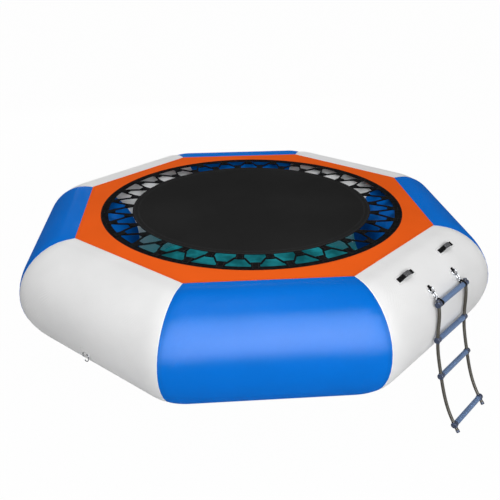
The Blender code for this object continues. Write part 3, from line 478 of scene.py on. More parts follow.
def mesh_object(skin, name, material_used, up=False):
    """Object with a skin's mesh, its doubles merged and its faces outwards, or upwards where up is set."""
    mesh = bpy.data.meshes.new(name)
    mesh.from_pydata(np.concatenate(skin.points).tolist(), [], skin.faces)
    chart = mesh.uv_layers.new(name="layout")
    chart.uv.foreach_set("vector", np.concatenate(skin.layout).astype(np.float32).ravel())
    extra = mesh.attributes.new("seam", "FLOAT", "POINT")
    extra.data.foreach_set("value", np.concatenate(skin.extra).astype(np.float32))
    shape = bmesh.new()
    shape.from_mesh(mesh)
    bmesh.ops.remove_doubles(shape, verts=shape.verts, dist=MERGE_DISTANCE)
    bmesh.ops.recalc_face_normals(shape, faces=shape.faces)
    if up and sum(face.normal.z for face in shape.faces) < 0:
        bmesh.ops.reverse_faces(shape, faces=shape.faces)
    shape.to_mesh(mesh)
    shape.free()
    mesh.shade_smooth()
    mesh.materials.append(material_used)
    item = bpy.data.objects.new(name, mesh)
    bpy.context.scene.collection.objects.link(item)
    return item


def finish_piece(
    skin, name, finish, node, rides=None, wall=0.0, up=False, sharp=35.0, blended=False
):
    """A piece with its edges over sharp degrees hard, and a wall if it has one. It stands for the CAD
    node and rides on its body; a blended one rides on none. One that only rides replaces no node."""
    piece = mesh_object(skin, name, material(finish), up)
    piece.data.set_sharp_from_angle(angle=math.radians(sharp))
    if wall:
        solid = piece.modifiers.new("wall", "SOLIDIFY")
        solid.thickness = wall
        solid.offset = -1
        solid.use_even_offset = True
    if not blended:
        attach(piece, rides or frame["nodes"][node]["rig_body"])
    if not rides:
        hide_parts(node)
    return piece


# Materials

LACQUER_INDEX = 2.4
SCRIM_PITCH = 0.0022
KNURL_PITCH = 0.0030
CREASE_PITCH = 0.019
RIB_PITCH = 0.0024
TWILL_PITCH = 0.0034
WARP_PITCH = 0.0017
YARN_PITCH = 0.0052
STRAND_PITCH = 0.0063
DRAWING_PITCH = 0.00035


class Nodes:
    """Short calls for the nodes of a material or a world."""

    def __init__(self, tree):
        self.tree = tree

    def feed(self, item, key, value):
        """Link a socket to a node's input, or set the input to a number or colour."""
        if isinstance(value, bpy.types.NodeSocket):
            self.tree.links.new(value, item.inputs[key])
        else:
            item.inputs[key].default_value = value

    def node(self, kind, values=(), **settings):
        """Add a node, with its settings and its inputs as values or links."""
        added = self.tree.nodes.new(kind)
        for key, value in settings.items():
            setattr(added, key, value)
        for key, value in dict(values).items():
            self.feed(added, key, value)
        return added

    def maths(self, operation, first, second=0.0):
        """One operation on two numbers or sockets."""
        return self.node("ShaderNodeMath", {0: first, 1: second}, operation=operation).outputs[0]

    def plus(self, first, second):
        """First + second."""
        return self.maths("ADD", first, second)

    def times(self, first, second):
        """First x second."""
        return self.maths("MULTIPLY", first, second)

    def most(self, *sockets):
        """Largest of several values."""
        result = sockets[0]
        for socket in sockets[1:]:
            result = self.maths("MAXIMUM", result, socket)
        return result

    def ramp(self, value, low, high, first=0.0, last=1.0):
        """Value mapped from low..high to first..last, smoothly and clamped."""
        values = {"Value": value, "From Min": low, "From Max": high, "To Min": first, "To Max": last}
        return self.node("ShaderNodeMapRange", values, interpolation_type="SMOOTHSTEP").outputs[0]

    def shown(self):
        """1 for the rays that show the background: the camera's, reflected and transmitted ones."""
        seen = self.node("ShaderNodeLightPath").outputs
        return self.most(seen["Is Camera Ray"], seen["Is Glossy Ray"], seen["Is Transmission Ray"])


class Finish(Nodes):
    """A material under construction, with its shader."""

    def __init__(self, name, roughness, metallic=0.0, specular=0.5, coat=0.0):
        self.material = bpy.data.materials.new(name)
        self.material.use_nodes = True
        super().__init__(self.material.node_tree)
        self.shader = self.tree.nodes["Principled BSDF"]
        self.feed(self.shader, "Roughness", roughness)
        self.feed(self.shader, "Metallic", metallic)
        self.feed(self.shader, "Specular IOR Level", specular)
        self.feed(self.shader, "Coat Weight", coat)
        self.feed(self.shader, "Coat IOR", LACQUER_INDEX)
        self.feed(self.shader, "Coat Roughness", roughness)

    def chart(self):
        """The piece's own (run, across) coordinates in metres."""
        layout = self.node("ShaderNodeUVMap", uv_map="layout").outputs["UV"]
        parts = self.node("ShaderNodeSeparateXYZ", {0: layout})
        return parts.outputs[0], parts.outputs[1]

    def place(self):
        """Object coordinates, which are world metres at rest."""
        return self.node("ShaderNodeTexCoord").outputs["Object"]

    def seam(self):
        """The extra value of the piece's points."""
        return self.node("ShaderNodeAttribute", attribute_name="seam").outputs["Fac"]

    def noise(self, scale, detail=2.0, vector=None):
        """Noise of 0 to 1 over a vector, which is the place unless another is given."""
        values = {"Vector": vector or self.place(), "Scale": scale, "Detail": detail}
        return self.node("ShaderNodeTexNoise", values).outputs["Fac"]

    def wave(self, value, pitch):
        """sin(2 pi value / pitch)."""
        return self.maths("SINE", self.times(value, 2 * math.pi / pitch))

    def mix(self, share, first, second):
        """Colour between two colours."""
        values = {0: share, 6: first, 7: second}
        return self.node("ShaderNodeMix", values, data_type="RGBA").outputs[2]

    def tint(self, share, colour, first, second):
        """The colour times a share that runs from first to second."""
        return self.mix(share, shade(colour, first), shade(colour, second))

    def stitches(self, run, across, row, pitch=0.006, length=0.62, width=0.0013):
        """1 on a row of stitches: near the row, and for a share of each pitch along it."""
        dash = self.maths("LESS_THAN", self.maths("FRACT", self.times(run, 1 / pitch)), length)
        near = self.node("ShaderNodeMath", {0: across, 1: row, 2: width / 2}, operation="COMPARE")
        return self.times(near.outputs[0], dash)

    def hidden_from_below(self, surface):
        """Show the surface, but let a camera that looks at its back see through it."""
        facing = self.node("ShaderNodeNewGeometry").outputs["Backfacing"]
        seen = self.node("ShaderNodeLightPath").outputs["Is Camera Ray"]
        clear = self.node("ShaderNodeBsdfTransparent").outputs[0]
        part = self.node("ShaderNodeMixShader", {0: self.times(seen, facing), 1: surface, 2: clear})
        self.feed(self.tree.nodes["Material Output"], "Surface", part.outputs[0])

    def done(self, colour, height=None, depth=0.001, strength=1.0, roughness=None):
        """Connect the colour, the bump's height times depth in metres, and the roughness."""
        self.feed(self.shader, "Base Color", colour)
        if height is not None:
            bump = self.node("ShaderNodeBump", {"Height": height, "Distance": depth, "Strength": strength})
            self.feed(self.shader, "Normal", bump.outputs[0])
            self.feed(self.shader, "Coat Normal", bump.outputs[0])
        if roughness is not None:
            self.feed(self.shader, "Roughness", roughness)
        return self.material


def shade(colour, share):
    """A colour times a share, with full alpha."""
    return (*(min(1.0, value * share) for value in colour[:3]), 1.0)


def tarpaulin(name, colour, gloss, lacquer, weld_width, weld_shade, seam_bead_highlight=1.0):
    """Coated fabric: scrim threads as two crossed sines, slow waviness, faint slanting creases, a
    knurled weld band where the distance to the seam is less than its width, and a bead at the seam,
    whose colour a share paints lighter as a painted highlight. Its gloss is a thin lacquer, so that the
    sides keep their colour."""
    make = Finish(name, gloss, specular=0.0, coat=lacquer)
    run, across = make.chart()
    threads = make.times(make.wave(run, SCRIM_PITCH), make.wave(across, SCRIM_PITCH))
    weld = make.ramp(make.seam(), weld_width * 0.94, weld_width, 1.0, 0.0)
    knurl = make.wave(make.plus(run, across), KNURL_PITCH)
    knurl = make.times(knurl, make.wave(make.maths("SUBTRACT", run, across), KNURL_PITCH))
    slow = make.noise(9.0, 3.0)
    slant = make.plus(run, make.times(across, 0.8))
    slant = make.plus(slant, make.times(make.noise(3.0, 2.0), 0.16))
    patchy = make.ramp(make.noise(5.0, 2.0), 0.40, 0.65)
    beside = make.times(make.ramp(make.seam(), 0.03, 0.10), make.ramp(make.seam(), 0.18, 0.42, 1.0, 0.1))
    creases = make.times(make.wave(slant, CREASE_PITCH), make.times(patchy, beside))
    bead = make.ramp(make.seam(), 0.006, 0.008, 1.0, 0.0)
    height = make.times(threads, 0.05)
    layers = ((slow, 0.5), (creases, 0.4), (bead, 0.6), (make.times(knurl, weld), 0.12), (weld, -0.25))
    for layer, share in layers:
        height = make.plus(height, make.times(layer, share))
    drift = make.ramp(make.noise(2.6, 4.0), 0.3, 0.7)
    plain = make.tint(drift, colour, 0.965, 1.02)
    toned = make.mix(make.times(weld, 0.6), plain, shade(colour, weld_shade))
    # Painted highlight: the bead's colour is lighter by the given share, a light line along the seam.
    toned = make.mix(bead, toned, shade(colour, seam_bead_highlight))
    rough = make.ramp(make.noise(5.0, 3.0), 0.25, 0.75, gloss - 0.03, gloss + 0.05)
    return make.done(toned, height, 0.0010, 0.8, rough)


def patch_fabric(name, colour):
    """Glued patch: fine grain, and a rim that is pressed down and slightly darker."""
    make = Finish(name, 0.36, specular=0.12)
    rim = make.ramp(make.seam(), 0.0035, 0.0055, 1.0, 0.0)
    grain = make.noise(420.0, 2.0)
    height = make.plus(make.times(grain, 0.3), make.times(rim, -0.5))
    toned = make.tint(rim, colour, 0.97, 0.86)
    return make.done(toned, height, 0.0003, 0.7)


def webbing(name, colour, thread, rows, bars=(), lift=1.0):
    """Woven webbing: ribs across it broken by a half-step twill, with a painted highlight on the rib
    crests and painted shade between them, patchy like wear, and rows of stitches along it and bars of
    stitches across it."""
    make = Finish(name, 0.82, specular=0.0)
    run, across = make.chart()
    rib = make.wave(make.plus(run, make.times(make.wave(across, TWILL_PITCH), 0.0004)), RIB_PITCH)
    weave = make.ramp(make.plus(rib, make.times(make.wave(across, WARP_PITCH), 0.6)), -1.4, 1.4)
    crest_highlight_and_wear = make.times(weave, make.ramp(make.noise(38.0, 4.0), 0.35, 0.75))
    sewn = [make.stitches(run, across, row) for row in rows]
    sewn += [make.stitches(across, run, bar, 0.0035) for bar in bars]
    stitch = make.most(*sewn)
    # Painted highlight on the rib crests and painted shade in the valleys, scaled by lift and patchy like
    # wear.
    toned = make.mix(stitch, make.tint(crest_highlight_and_wear, colour, 0.7, 2.1 * lift), (*thread, 1.0))
    height = make.plus(weave, make.times(stitch, 1.6))
    return make.done(toned, height, 0.00035, 0.9)


def mat_mesh(name, colour, thread):
    """Jump mat mesh: two sets of flat yarns painted lighter and darker by their weave, painted shade in
    the pores between them, slow drifts of wear, and two double rows of stitches round the hem, where
    run is the distance round and across is the radius."""
    make = Finish(name, 0.78, specular=0.0)
    run, across = make.chart()
    parts = make.node("ShaderNodeSeparateXYZ", {0: make.place()})
    warp, weft = make.wave(parts.outputs[0], YARN_PITCH), make.wave(parts.outputs[1], YARN_PITCH)
    weave = make.ramp(make.times(warp, weft), -0.8, 0.8)
    # Painted shading of the weave, and painted shade in the pores between the yarns.
    pore_shade = make.ramp(make.plus(make.maths("ABSOLUTE", warp), make.maths("ABSOLUTE", weft)), 0.1, 0.5)
    toned = make.tint(weave, colour, 0.78, 1.22)
    toned = make.mix(pore_shade, shade(colour, 0.25), toned)
    drift = make.ramp(make.noise(1.7, 5.0), 0.35, 0.7)
    toned = make.mix(make.times(drift, 0.35), toned, shade(colour, 1.5))
    stitch = make.most(*(make.stitches(run, across, row, 0.007) for row in MAT_ROWS))
    toned = make.mix(stitch, toned, (*thread, 1.0))
    height = make.plus(make.times(weave, 0.6), make.times(stitch, 1.2))
    return make.done(toned, height, 0.0004, 0.9)


def braid(name, colour):
    """Braided cover: two sets of strands at opposite slants, the higher of their sines on top, with
    painted shade in the grooves and a painted highlight on the raised strands.
    """
    make = Finish(name, 0.68, specular=0.0)
    run, across = make.chart()
    one = make.wave(make.plus(run, across), STRAND_PITCH)
    two = make.wave(make.maths("SUBTRACT", run, across), STRAND_PITCH)
    strand_height_and_shade = make.ramp(make.most(one, two), 0.0, 1.0)
    fleck = make.ramp(make.noise(160.0, 2.0), 0.45, 0.6)
    # Painted shade and highlight: the colour follows the strands' height and is darker in the grooves.
    toned = make.tint(strand_height_and_shade, colour, 0.5, 1.5)
    toned = make.mix(make.times(fleck, 0.25), toned, shade(colour, 3.0))
    return make.done(toned, strand_height_and_shade, 0.0006, 0.9)


def polished_steel(name, colour):
    """Stainless wire: fine drawing lines along it and a few dull spots."""
    make = Finish(name, 0.22, metallic=1.0)
    _, across = make.chart()
    lines = make.wave(across, DRAWING_PITCH)
    spots = make.ramp(make.noise(210.0, 3.0), 0.45, 0.65)
    rough = make.ramp(make.noise(120.0, 3.0), 0.3, 0.7, 0.18, 0.28)
    toned = make.tint(spots, colour, 0.86, 1.04)
    return make.done(toned, lines, 0.00003, 0.1, rough)


def coated_tube(name, colour):
    """Satin coated rail: orange peel and rubbed places that show lighter."""
    make = Finish(name, 0.40, specular=0.12)
    peel = make.noise(520.0, 2.0)
    rubbed = make.ramp(make.noise(9.0, 5.0), 0.50, 0.75)
    toned = make.tint(rubbed, colour, 0.9, 1.4)
    rough = make.ramp(make.noise(60.0, 3.0), 0.3, 0.7, 0.36, 0.48)
    return make.done(toned, peel, 0.00005, 0.3, rough)


def satin_aluminium(name, colour, edge):
    """Dyed aluminium: brushing as noise stretched along the tube, darker towards its ends."""
    make = Finish(name, 0.42, metallic=0.2, specular=0.25)
    run, across = make.chart()
    stretched = make.node("ShaderNodeCombineXYZ", {0: make.times(across, 9.0), 1: run})
    brushed = make.noise(420.0, 3.0, stretched.outputs[0])
    ends = make.ramp(make.seam(), 0.0, 0.012, 1.0, 0.0)
    toned = make.tint(make.ramp(brushed, 0.3, 0.7), colour, 0.86, 1.12)
    toned = make.mix(ends, toned, (*edge, 1.0))
    rough = make.ramp(brushed, 0.3, 0.7, 0.38, 0.50)
    return make.done(toned, brushed, 0.00003, 0.2, rough)


def moulded(name, colour, roughness=0.5):
    """Moulded plastic: fine spark grain, darker and lighter patches, and places a little smoother."""
    make = Finish(name, roughness, specular=0.2)
    grain = make.noise(1300.0, 2.0)
    patches = make.ramp(make.noise(45.0, 4.0), 0.35, 0.7)
    toned = make.tint(patches, colour, 0.88, 1.18)
    rough = make.ramp(make.noise(70.0, 3.0), 0.3, 0.7, roughness - 0.08, roughness + 0.06)
    return make.done(toned, grain, 0.00008, 0.6, rough)


def ribbed_rubber(name, colour):
    """Grip sleeve: moulded ribs, with a patchy painted highlight on the crests and painted shade between.
    """
    make = Finish(name, 0.6, specular=0.15)
    run, _ = make.chart()
    crest = make.ramp(make.wave(run, SLEEVE_PITCH), 0.1, 0.9)
    crest_highlight_and_wear = make.times(crest, make.ramp(make.noise(150.0, 3.0), 0.3, 0.6))
    # Painted highlight on the rib crests and painted shade between the ribs, patchy like wear.
    toned = make.tint(crest_highlight_and_wear, colour, 0.75, 2.6)
    return make.done(toned, make.noise(900.0, 2.0), 0.0001, 0.6)


def material(name):
    """The finish of that name, made on first use from the sizes and colours of the panel."""
    known = bpy.data.materials.get(name)
    if known:
        return known
    scene = bpy.context.scene
    skin, mat = scene.tube_skins, scene.mat_and_lacing
    ladder, fittings = scene.boarding_ladder, scene.fittings
    fabric, sewn = (skin.gloss, skin.lacquer, skin.weld_width), (mat.webbing, mat.thread)
    makers = {
        "blue_tarpaulin": (tarpaulin, skin.blue, *fabric, 0.92),
        # The last share paints the white sections' seam bead lighter, a painted highlight.
        "white_tarpaulin": (tarpaulin, skin.white, *fabric, 0.98, 1.14),
        "orange_tarpaulin": (tarpaulin, skin.orange, 0.5, skin.lacquer / 3, 0.022, 0.95),
        "white_patch": (patch_fabric, skin.white),
        "ring_strap": (webbing, *sewn, RING_ROWS),
        "loop_strap": (webbing, *sewn, (-0.017, 0.017), (0.004, 0.030)),
        "white_strap": (webbing, skin.white, skin.white, (-0.0085, 0.0085), (0.0035,)),
        "sewn_strap": (webbing, *sewn, (-0.0085, 0.0085), (0.0035,)),
        "handle_strap": (webbing, *sewn, (-0.0125, 0.0125), (0.005, 0.026), 0.8),
        "mat_mesh": (mat_mesh, mat.mat, mat.thread),
        "bungee_braid": (braid, mat.cord),
        "stainless": (polished_steel, fittings.steel),
        "rail_coating": (coated_tube, ladder.rail),
        "rung_aluminium": (satin_aluminium, ladder.rung, ladder.rung_end),
        "cap_plastic": (moulded, ladder.cap, 0.48),
        "valve_plastic": (moulded, fittings.valve, 0.45),
        "grip_rubber": (ribbed_rubber, fittings.grip),
    }
    maker, *values = makers[name]
    return maker(name, *values)


# Settings


def length_setting(name, metres, description):
    """A size that is set in the panel."""
    return FloatProperty(name=name, description=description, default=metres, unit="LENGTH")


def number_setting(name, value, description, subtype="NONE"):
    """A share, an angle or a strength."""
    return FloatProperty(name=name, description=description, default=value, subtype=subtype)


def count_setting(name, count, description):
    """A whole number of things."""
    return IntProperty(name=name, description=description, default=count)


def colour_setting(name, colour, description):
    """A linear colour."""
    return FloatVectorProperty(name=name, description=description, default=colour, subtype="COLOR")


class TubeSkinSettings(bpy.types.PropertyGroup):
    """Sizes and colours of the inflated tubes and the apron."""

    seam_pinch: length_setting("Seam pinch", 0.0125, "How far a tube draws in at its mitre")
    apron_press: length_setting("Apron press", 0.016, "How far the taut apron presses a tube's crown")
    pucker: length_setting("Pucker", 0.0011, "Depth of the small folds beside a mitre")
    pucker_reach: length_setting("Pucker reach", 0.040, "How far the folds run from the mitre")
    pucker_count: count_setting("Pucker count", 44, "Folds round one mitre")
    weld_width: length_setting("Weld width", 0.028, "Width of the welded band at a seam")
    gloss: number_setting("Roughness", 0.20, "Roughness of the coated fabric", "FACTOR")
    lacquer: number_setting("Lacquer", 0.028, "Share of the fabric's clear lacquer", "FACTOR")
    blue: colour_setting("Blue", linear(0, 110, 210), "Blue sections")
    white: colour_setting("White", linear(238, 238, 238), "White sections")
    orange: colour_setting("Orange", linear(242, 97, 28), "Apron")


class MatAndLacingSettings(bpy.types.PropertyGroup):
    """Sizes and colours of the mat, the webbing and the bungee."""

    ply: length_setting("Webbing ply", 0.0022, "Thickness of the loops' webbing")
    cord_bend: length_setting("Cord bend", 0.010, "How far from a corner the cord starts to bend")
    mat_dip: length_setting("Mat dip", 0.002, "How far the mat dips at its centre")
    mat: colour_setting("Mat", linear(38, 38, 38), "Mesh fabric")
    webbing: colour_setting("Webbing", linear(27, 27, 28), "Straps and loops")
    cord: colour_setting("Bungee", linear(22, 22, 23), "Braided cover")
    thread: colour_setting("Thread", linear(74, 74, 76), "Stitches")


class BoardingLadderSettings(bpy.types.PropertyGroup):
    """Sizes and colours of the ladder."""

    flutes: count_setting("Flutes", 20, "Grip flutes round a rung")
    flute_depth: length_setting("Flute depth", 0.0005, "Depth of a grip flute")
    strap_width: length_setting("Hanger width", 0.019, "Width of the hanger straps")
    rail: colour_setting("Rails", linear(66, 63, 56), "Coating of the bent rails")
    rung: colour_setting("Rungs", linear(84, 107, 142), "Dyed aluminium")
    rung_end: colour_setting("Rung ends", linear(46, 60, 88), "Darker ends of the rungs")
    cap: colour_setting("Caps", linear(44, 54, 76), "Plastic end caps, plugs and feet")


class FittingSettings(bpy.types.PropertyGroup):
    """Sizes and colours of the hardware and the valve."""

    hook_end: length_setting("Hook end lead", 0.002, "Straight length at the hook's open ends")
    grip_length: length_setting("Grip length", 0.058, "Length of the sleeve on a hand loop")
    valve_ribs: count_setting("Cap ribs", 24, "Grip ribs round the valve cap")
    steel: colour_setting("Steel", linear(112, 114, 118), "Rings, hooks and gates")
    grip: colour_setting("Grip", linear(58, 58, 60), "Rubber sleeves of the hand loops")
    valve: colour_setting("Valve", linear(148, 150, 153), "Valve body and cap")


class StudioSettings(bpy.types.PropertyGroup):
    """Camera, lights, floor and the patch of water inside the float."""

    camera_place: FloatVectorProperty(
        name="Camera", description="Camera position", default=(-0.39242, -4.55598, 2.48053),
        subtype="TRANSLATION",
    )
    camera_turn: FloatVectorProperty(
        name="Camera angles", description="Azimuth, elevation and roll in degrees",
        default=(-4.791, 24.865, -0.173),
    )
    focal_pixels: number_setting("Focal length", 695.81, "Focal length in pixels of a 500 pixel picture")
    key_power: number_setting("Key light", 98.0, "Watts of the overhead light")
    front_power: number_setting("Front light", 258.0, "Watts of the front light")
    back_power: number_setting("Back light", 190.0, "Watts of the light behind")
    sheen_power: number_setting("Strip light", 4800.0, "Watts of the reflected strip")
    ambient: number_setting("Ambient", 0.34, "Strength of the surrounding light")
    floor: colour_setting("Floor", (0.50, 0.50, 0.50), "Floor colour")
    floor_level: length_setting("Floor level", -0.282, "Height of the floor")
    # Colour of the glowing water disc, painted light.
    water: colour_setting("Water", linear(24, 106, 114), "Water seen through the lacing")


# Pieces


def smooth_step(value, low, high):
    """0 to 1 between low and high as 3t^2 - 2t^3."""
    share = np.clip((value - low) / (high - low), 0.0, 1.0)
    return share * share * (3 - 2 * share)


def section_shares(under):
    """Shares of the half length, closer together near the mitres: 0.45 e + 0.55 sin(e pi / 2) over even
    e. A white section's go on past 1 by its lap."""
    even = np.linspace(-1.0, 1.0, 81)
    share = 0.45 * even + 0.55 * np.sin(even * np.pi / 2)
    if not under:
        return share
    tail = 1 + LAP_WIDTH / HALF_LENGTH * np.array((0.25, 0.6, 1.0))
    return np.concatenate((-tail[::-1], share, tail))


def tube_skin(name, angle, under):
    """One section: the ellipse of tube_outline over shares of the mitred half length, along = share x
    slope x out. It draws in near the mitre by pinch x run^2 and under the apron by the apron's press,
    puckers by a cosine round the tube that fades with the distance, and a white one dips and runs on
    under its neighbour."""
    settings = bpy.context.scene.tube_skins
    share, turn = np.meshgrid(section_shares(under), full_turn(128), indexing="ij")
    side = np.sign(share)
    crossed = np.abs(share) > 1
    local = np.where(crossed, -side * (2 - np.abs(share)), share)
    heading = angle + np.where(crossed, side * SECTION_TURN, 0.0)
    run_in = np.clip((np.abs(local) - SEAM_START_SHARE) / (1 - SEAM_START_SHARE), 0, 1)
    around = (turn + np.pi) % (2 * np.pi) - np.pi
    pressed = smooth_step(around, *PRESS_INSIDE) * (1 - smooth_step(around, *PRESS_OUTSIDE))
    drawn = settings.seam_pinch * run_in ** 2
    scale = 1 - (drawn + (settings.apron_press - drawn) * pressed) / TUBE_REACH
    distance = (1 - np.abs(local)) * HALF_LENGTH
    seam_number = angle / SECTION_TURN + np.where(side > 0, 0.5, -0.5)
    fold = 0.5 - 0.5 * np.cos(settings.pucker_count * turn + 2.0 * np.sin(3 * turn + 1.7 * seam_number))
    inset = settings.pucker * fold * np.exp(-distance / settings.pucker_reach)
    if under:
        inset = inset + (WALL + LAP_CLEARANCE) * smooth_step(np.abs(share), *DIP_SHARES)
    out, height = tube_outline(turn, -inset, scale)
    along = local * MITRE_SLOPE * out
    points = section_points(heading, out, along, height)
    away = np.abs(1 - np.abs(share)) * MITRE_SLOPE * out
    skin = Skin().grid(points[:, :-1], along, turn * TUBE_SPREAD, wrap=True, extra=away[:, :-1])
    colour = "white" if under else "blue"
    finish_piece(skin, name + "_skin", colour + "_tarpaulin", name, wall=WALL)


class TRAMPOLINE_OT_tubes(bpy.types.Operator):
    """Build the eight inflated tube sections"""

    bl_idname = "trampoline.tubes"
    bl_label = "Inflated tubes"

    def execute(self, context):
        for name, angle in SECTIONS:
            tube_skin(name, angle, name.endswith("white"))
        return {"FINISHED"}


class TRAMPOLINE_OT_apron(bpy.types.Operator):
    """Build the orange apron between the tubes and the webbing ring"""

    bl_idname = "trampoline.apron"
    bl_label = "Apron"

    def execute(self, context):
        """Rows run from the octagon's edge over the pressed tube's ellipse to the end of the weld, then
        straight to the round opening: (1-q) weld + q rim. The welded edge and the rolled hem stand
        slightly proud."""
        columns = np.linspace(-1.0, 1.0, 28, endpoint=False)
        angle = np.repeat([angle for _, angle in SECTIONS], len(columns))
        turned = np.radians(angle)
        share = np.tile(columns, len(SECTIONS))[None, :]
        scale = 1 - context.scene.tube_skins.apron_press / TUBE_REACH
        apothem = np.linspace(APRON_EDGE, APRON_EDGE - APRON_WELD, 7)[:, None]
        reach = (apothem - AXIS_RADIUS) / (FACE_REACH * scale)
        weld = WELD_RISE * np.clip((apothem - APRON_EDGE + 0.022) / 0.002, 0, 1)
        level = AXIS_HEIGHT * (1 + scale * np.sqrt(1 - reach ** 2)) + SEAT_GAP + WALL + weld
        outer = section_points(0.0, apothem, apothem * MITRE_SLOPE * share, level + 0 * share)
        blend = np.linspace(0.0, 1.0, 17)[1:, None]
        azimuth = np.arctan(MITRE_SLOPE * share)
        rim = round_points(OPENING_RADIUS, OPENING_LEVEL, azimuth)
        hem = np.clip((blend - 0.86) / 0.05, 0, 1)
        ripple = 0.5 + 0.5 * np.cos(LOOP_COUNT * (azimuth + turned - LACING_PHASE - LOOP_TURN / 2))
        inner = outer[-1:] * (1 - blend[..., None]) + rim * blend[..., None]
        inner[..., 2] += HEM_RISE * hem + RIPPLE * ripple * blend ** 2 * (1 - hem)
        rows = np.concatenate((outer, inner))
        points = section_points(angle, *np.moveaxis(rows, -1, 0))
        edge = np.concatenate((APRON_EDGE - apothem[:, 0], APRON_WELD + 0.09 * blend[:, 0]))[:, None]
        azimuth = azimuth[0] + turned
        around = np.append(azimuth, azimuth[0] + 2 * np.pi)[None, :] * APRON_SPREAD
        skin = Skin().grid(points, around, edge, wrap=True, extra=edge + 0 * share)
        finish_piece(
            skin, "apron_skin", "orange_tarpaulin", "apron_panel", wall=WALL, up=True
        )
        return {"FINISHED"}


def loop_path(reach, ply, top_tail, foot_tail):
    """Side view of a loop: along one ply, round the cord on a circle from the tangent turn acos(-r / d)
    to its mirror image, and back along the other ply."""
    radius = CORD_RADIUS + SEAT_GAP + ply / 2
    span = math.hypot(reach - LOOP_ROOT, LOOP_PART)
    contact = math.acos(-radius / span) - math.atan2(LOOP_PART, reach - LOOP_ROOT)
    turn = np.linspace(contact, -contact, 15)
    nose = np.stack((reach + radius * np.cos(turn), radius * np.sin(turn)), axis=1)
    outside = BAND / 2 + ply / 2 + 0.0001
    upper = [(-0.003, 0.0004), (LOOP_ROOT, LOOP_PART)]
    if top_tail:
        upper = [(-top_tail, outside), (-LOOP_STEP, outside), (LOOP_ROOT, LOOP_PART)]
    lower = [(LOOP_ROOT, -LOOP_PART), (-LOOP_STEP, -outside), (-foot_tail, -outside)]
    start = rounded_path(upper, LOOP_TRIM)[:-1]
    finish = rounded_path(lower, LOOP_TRIM)[1:]
    return np.concatenate((start, upper[-1:], nose, lower[:1], finish))


def loops_skin(edge, outwards, phase, side_view, profile):
    """The row of loops: the side view turned into each loop's radial plane and swept by the strap."""
    skin = Skin()
    sign = 1 if outwards else -1
    for index in range(LOOP_COUNT):
        radial, across = radial_axes(phase + index * LOOP_TURN)
        path = radial * (edge + sign * side_view[:, :1])
        path[:, 2] = LACING_LEVEL + side_view[:, 1]
        skin.sweep(path, profile, across)
    return skin


def band_skin(radii):
    """A flat ring of webbing: the strap's profile spun round the mat's centre."""
    profile, _ = strap_profile(radii[1] - radii[0], BAND)
    profile = profile + (sum(radii) / 2, LACING_LEVEL)
    turn = full_turn(240)
    points = round_points(profile[None, :, 0], profile[None, :, 1], turn[:-1, None])
    across = np.append(profile[:, 0], profile[0, 0])
    return Skin().grid(points, turn[:, None] * radii[0], across[None, :], wrap=True, loop=True)


class TRAMPOLINE_OT_webbing(bpy.types.Operator):
    """Build the webbing ring and the mat's hem with their loops"""

    bl_idname = "trampoline.webbing"
    bl_label = "Webbing ring and hem"

    def execute(self, context):
        ply = context.scene.mat_and_lacing.ply
        between = LACING_PHASE + LOOP_TURN / 2
        rows = (
            ("webbing_ring", RING_RADII, RING_EDGE, False, between, RING_LOOP, RING_TAILS),
            ("mat_hem", HEM_RADII, HEM_EDGE, True, LACING_PHASE, MAT_LOOP, MAT_TAILS),
        )
        for node, radii, edge, outwards, phase, (reach, width), tails in rows:
            finish_piece(band_skin(radii), node + "_band", "ring_strap", node)
            side_view = loop_path(reach, ply, *tails)
            loops = loops_skin(edge, outwards, phase, side_view, strap_profile(width, ply))
            body = frame["nodes"][node]["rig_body"]
            finish_piece(
                loops, node + "_loops", "loop_strap", node, rides=body, sharp=50.0
            )
        return {"FINISHED"}


class TRAMPOLINE_OT_mat(bpy.types.Operator):
    """Build the jump mat"""

    bl_idname = "trampoline.mat"
    bl_label = "Jump mat"

    def execute(self, context):
        """A closed lens spun round the centre: the top at level - dip (1 - (r/R)^2), the rim, and the foot
        a ply lower."""
        dip = context.scene.mat_and_lacing.mat_dip
        radius = np.linspace(0.0, MAT_RADIUS - 0.0005, 40)
        sag = dip * (1 - (radius / MAT_RADIUS) ** 2)
        top = np.stack((radius, MAT_TOP - sag), axis=1)
        rim = np.array(((MAT_RADIUS, MAT_TOP - MAT_PLY / 3), (MAT_RADIUS, MAT_TOP - MAT_PLY * 2 / 3)))
        foot = np.stack((radius, MAT_TOP - MAT_PLY - sag), axis=1)[::-1]
        profile = np.concatenate((top, rim, foot))
        turn = full_turn(180)
        points = round_points(profile[:, :1], profile[:, 1:], turn[None, :-1])
        skin = Skin().grid(points, turn[None, :] * MAT_SPREAD, profile[:, :1], wrap=True)
        piece = finish_piece(skin, "mat_skin", "mat_mesh", "jump_mat", sharp=60.0)
        return {"FINISHED"}


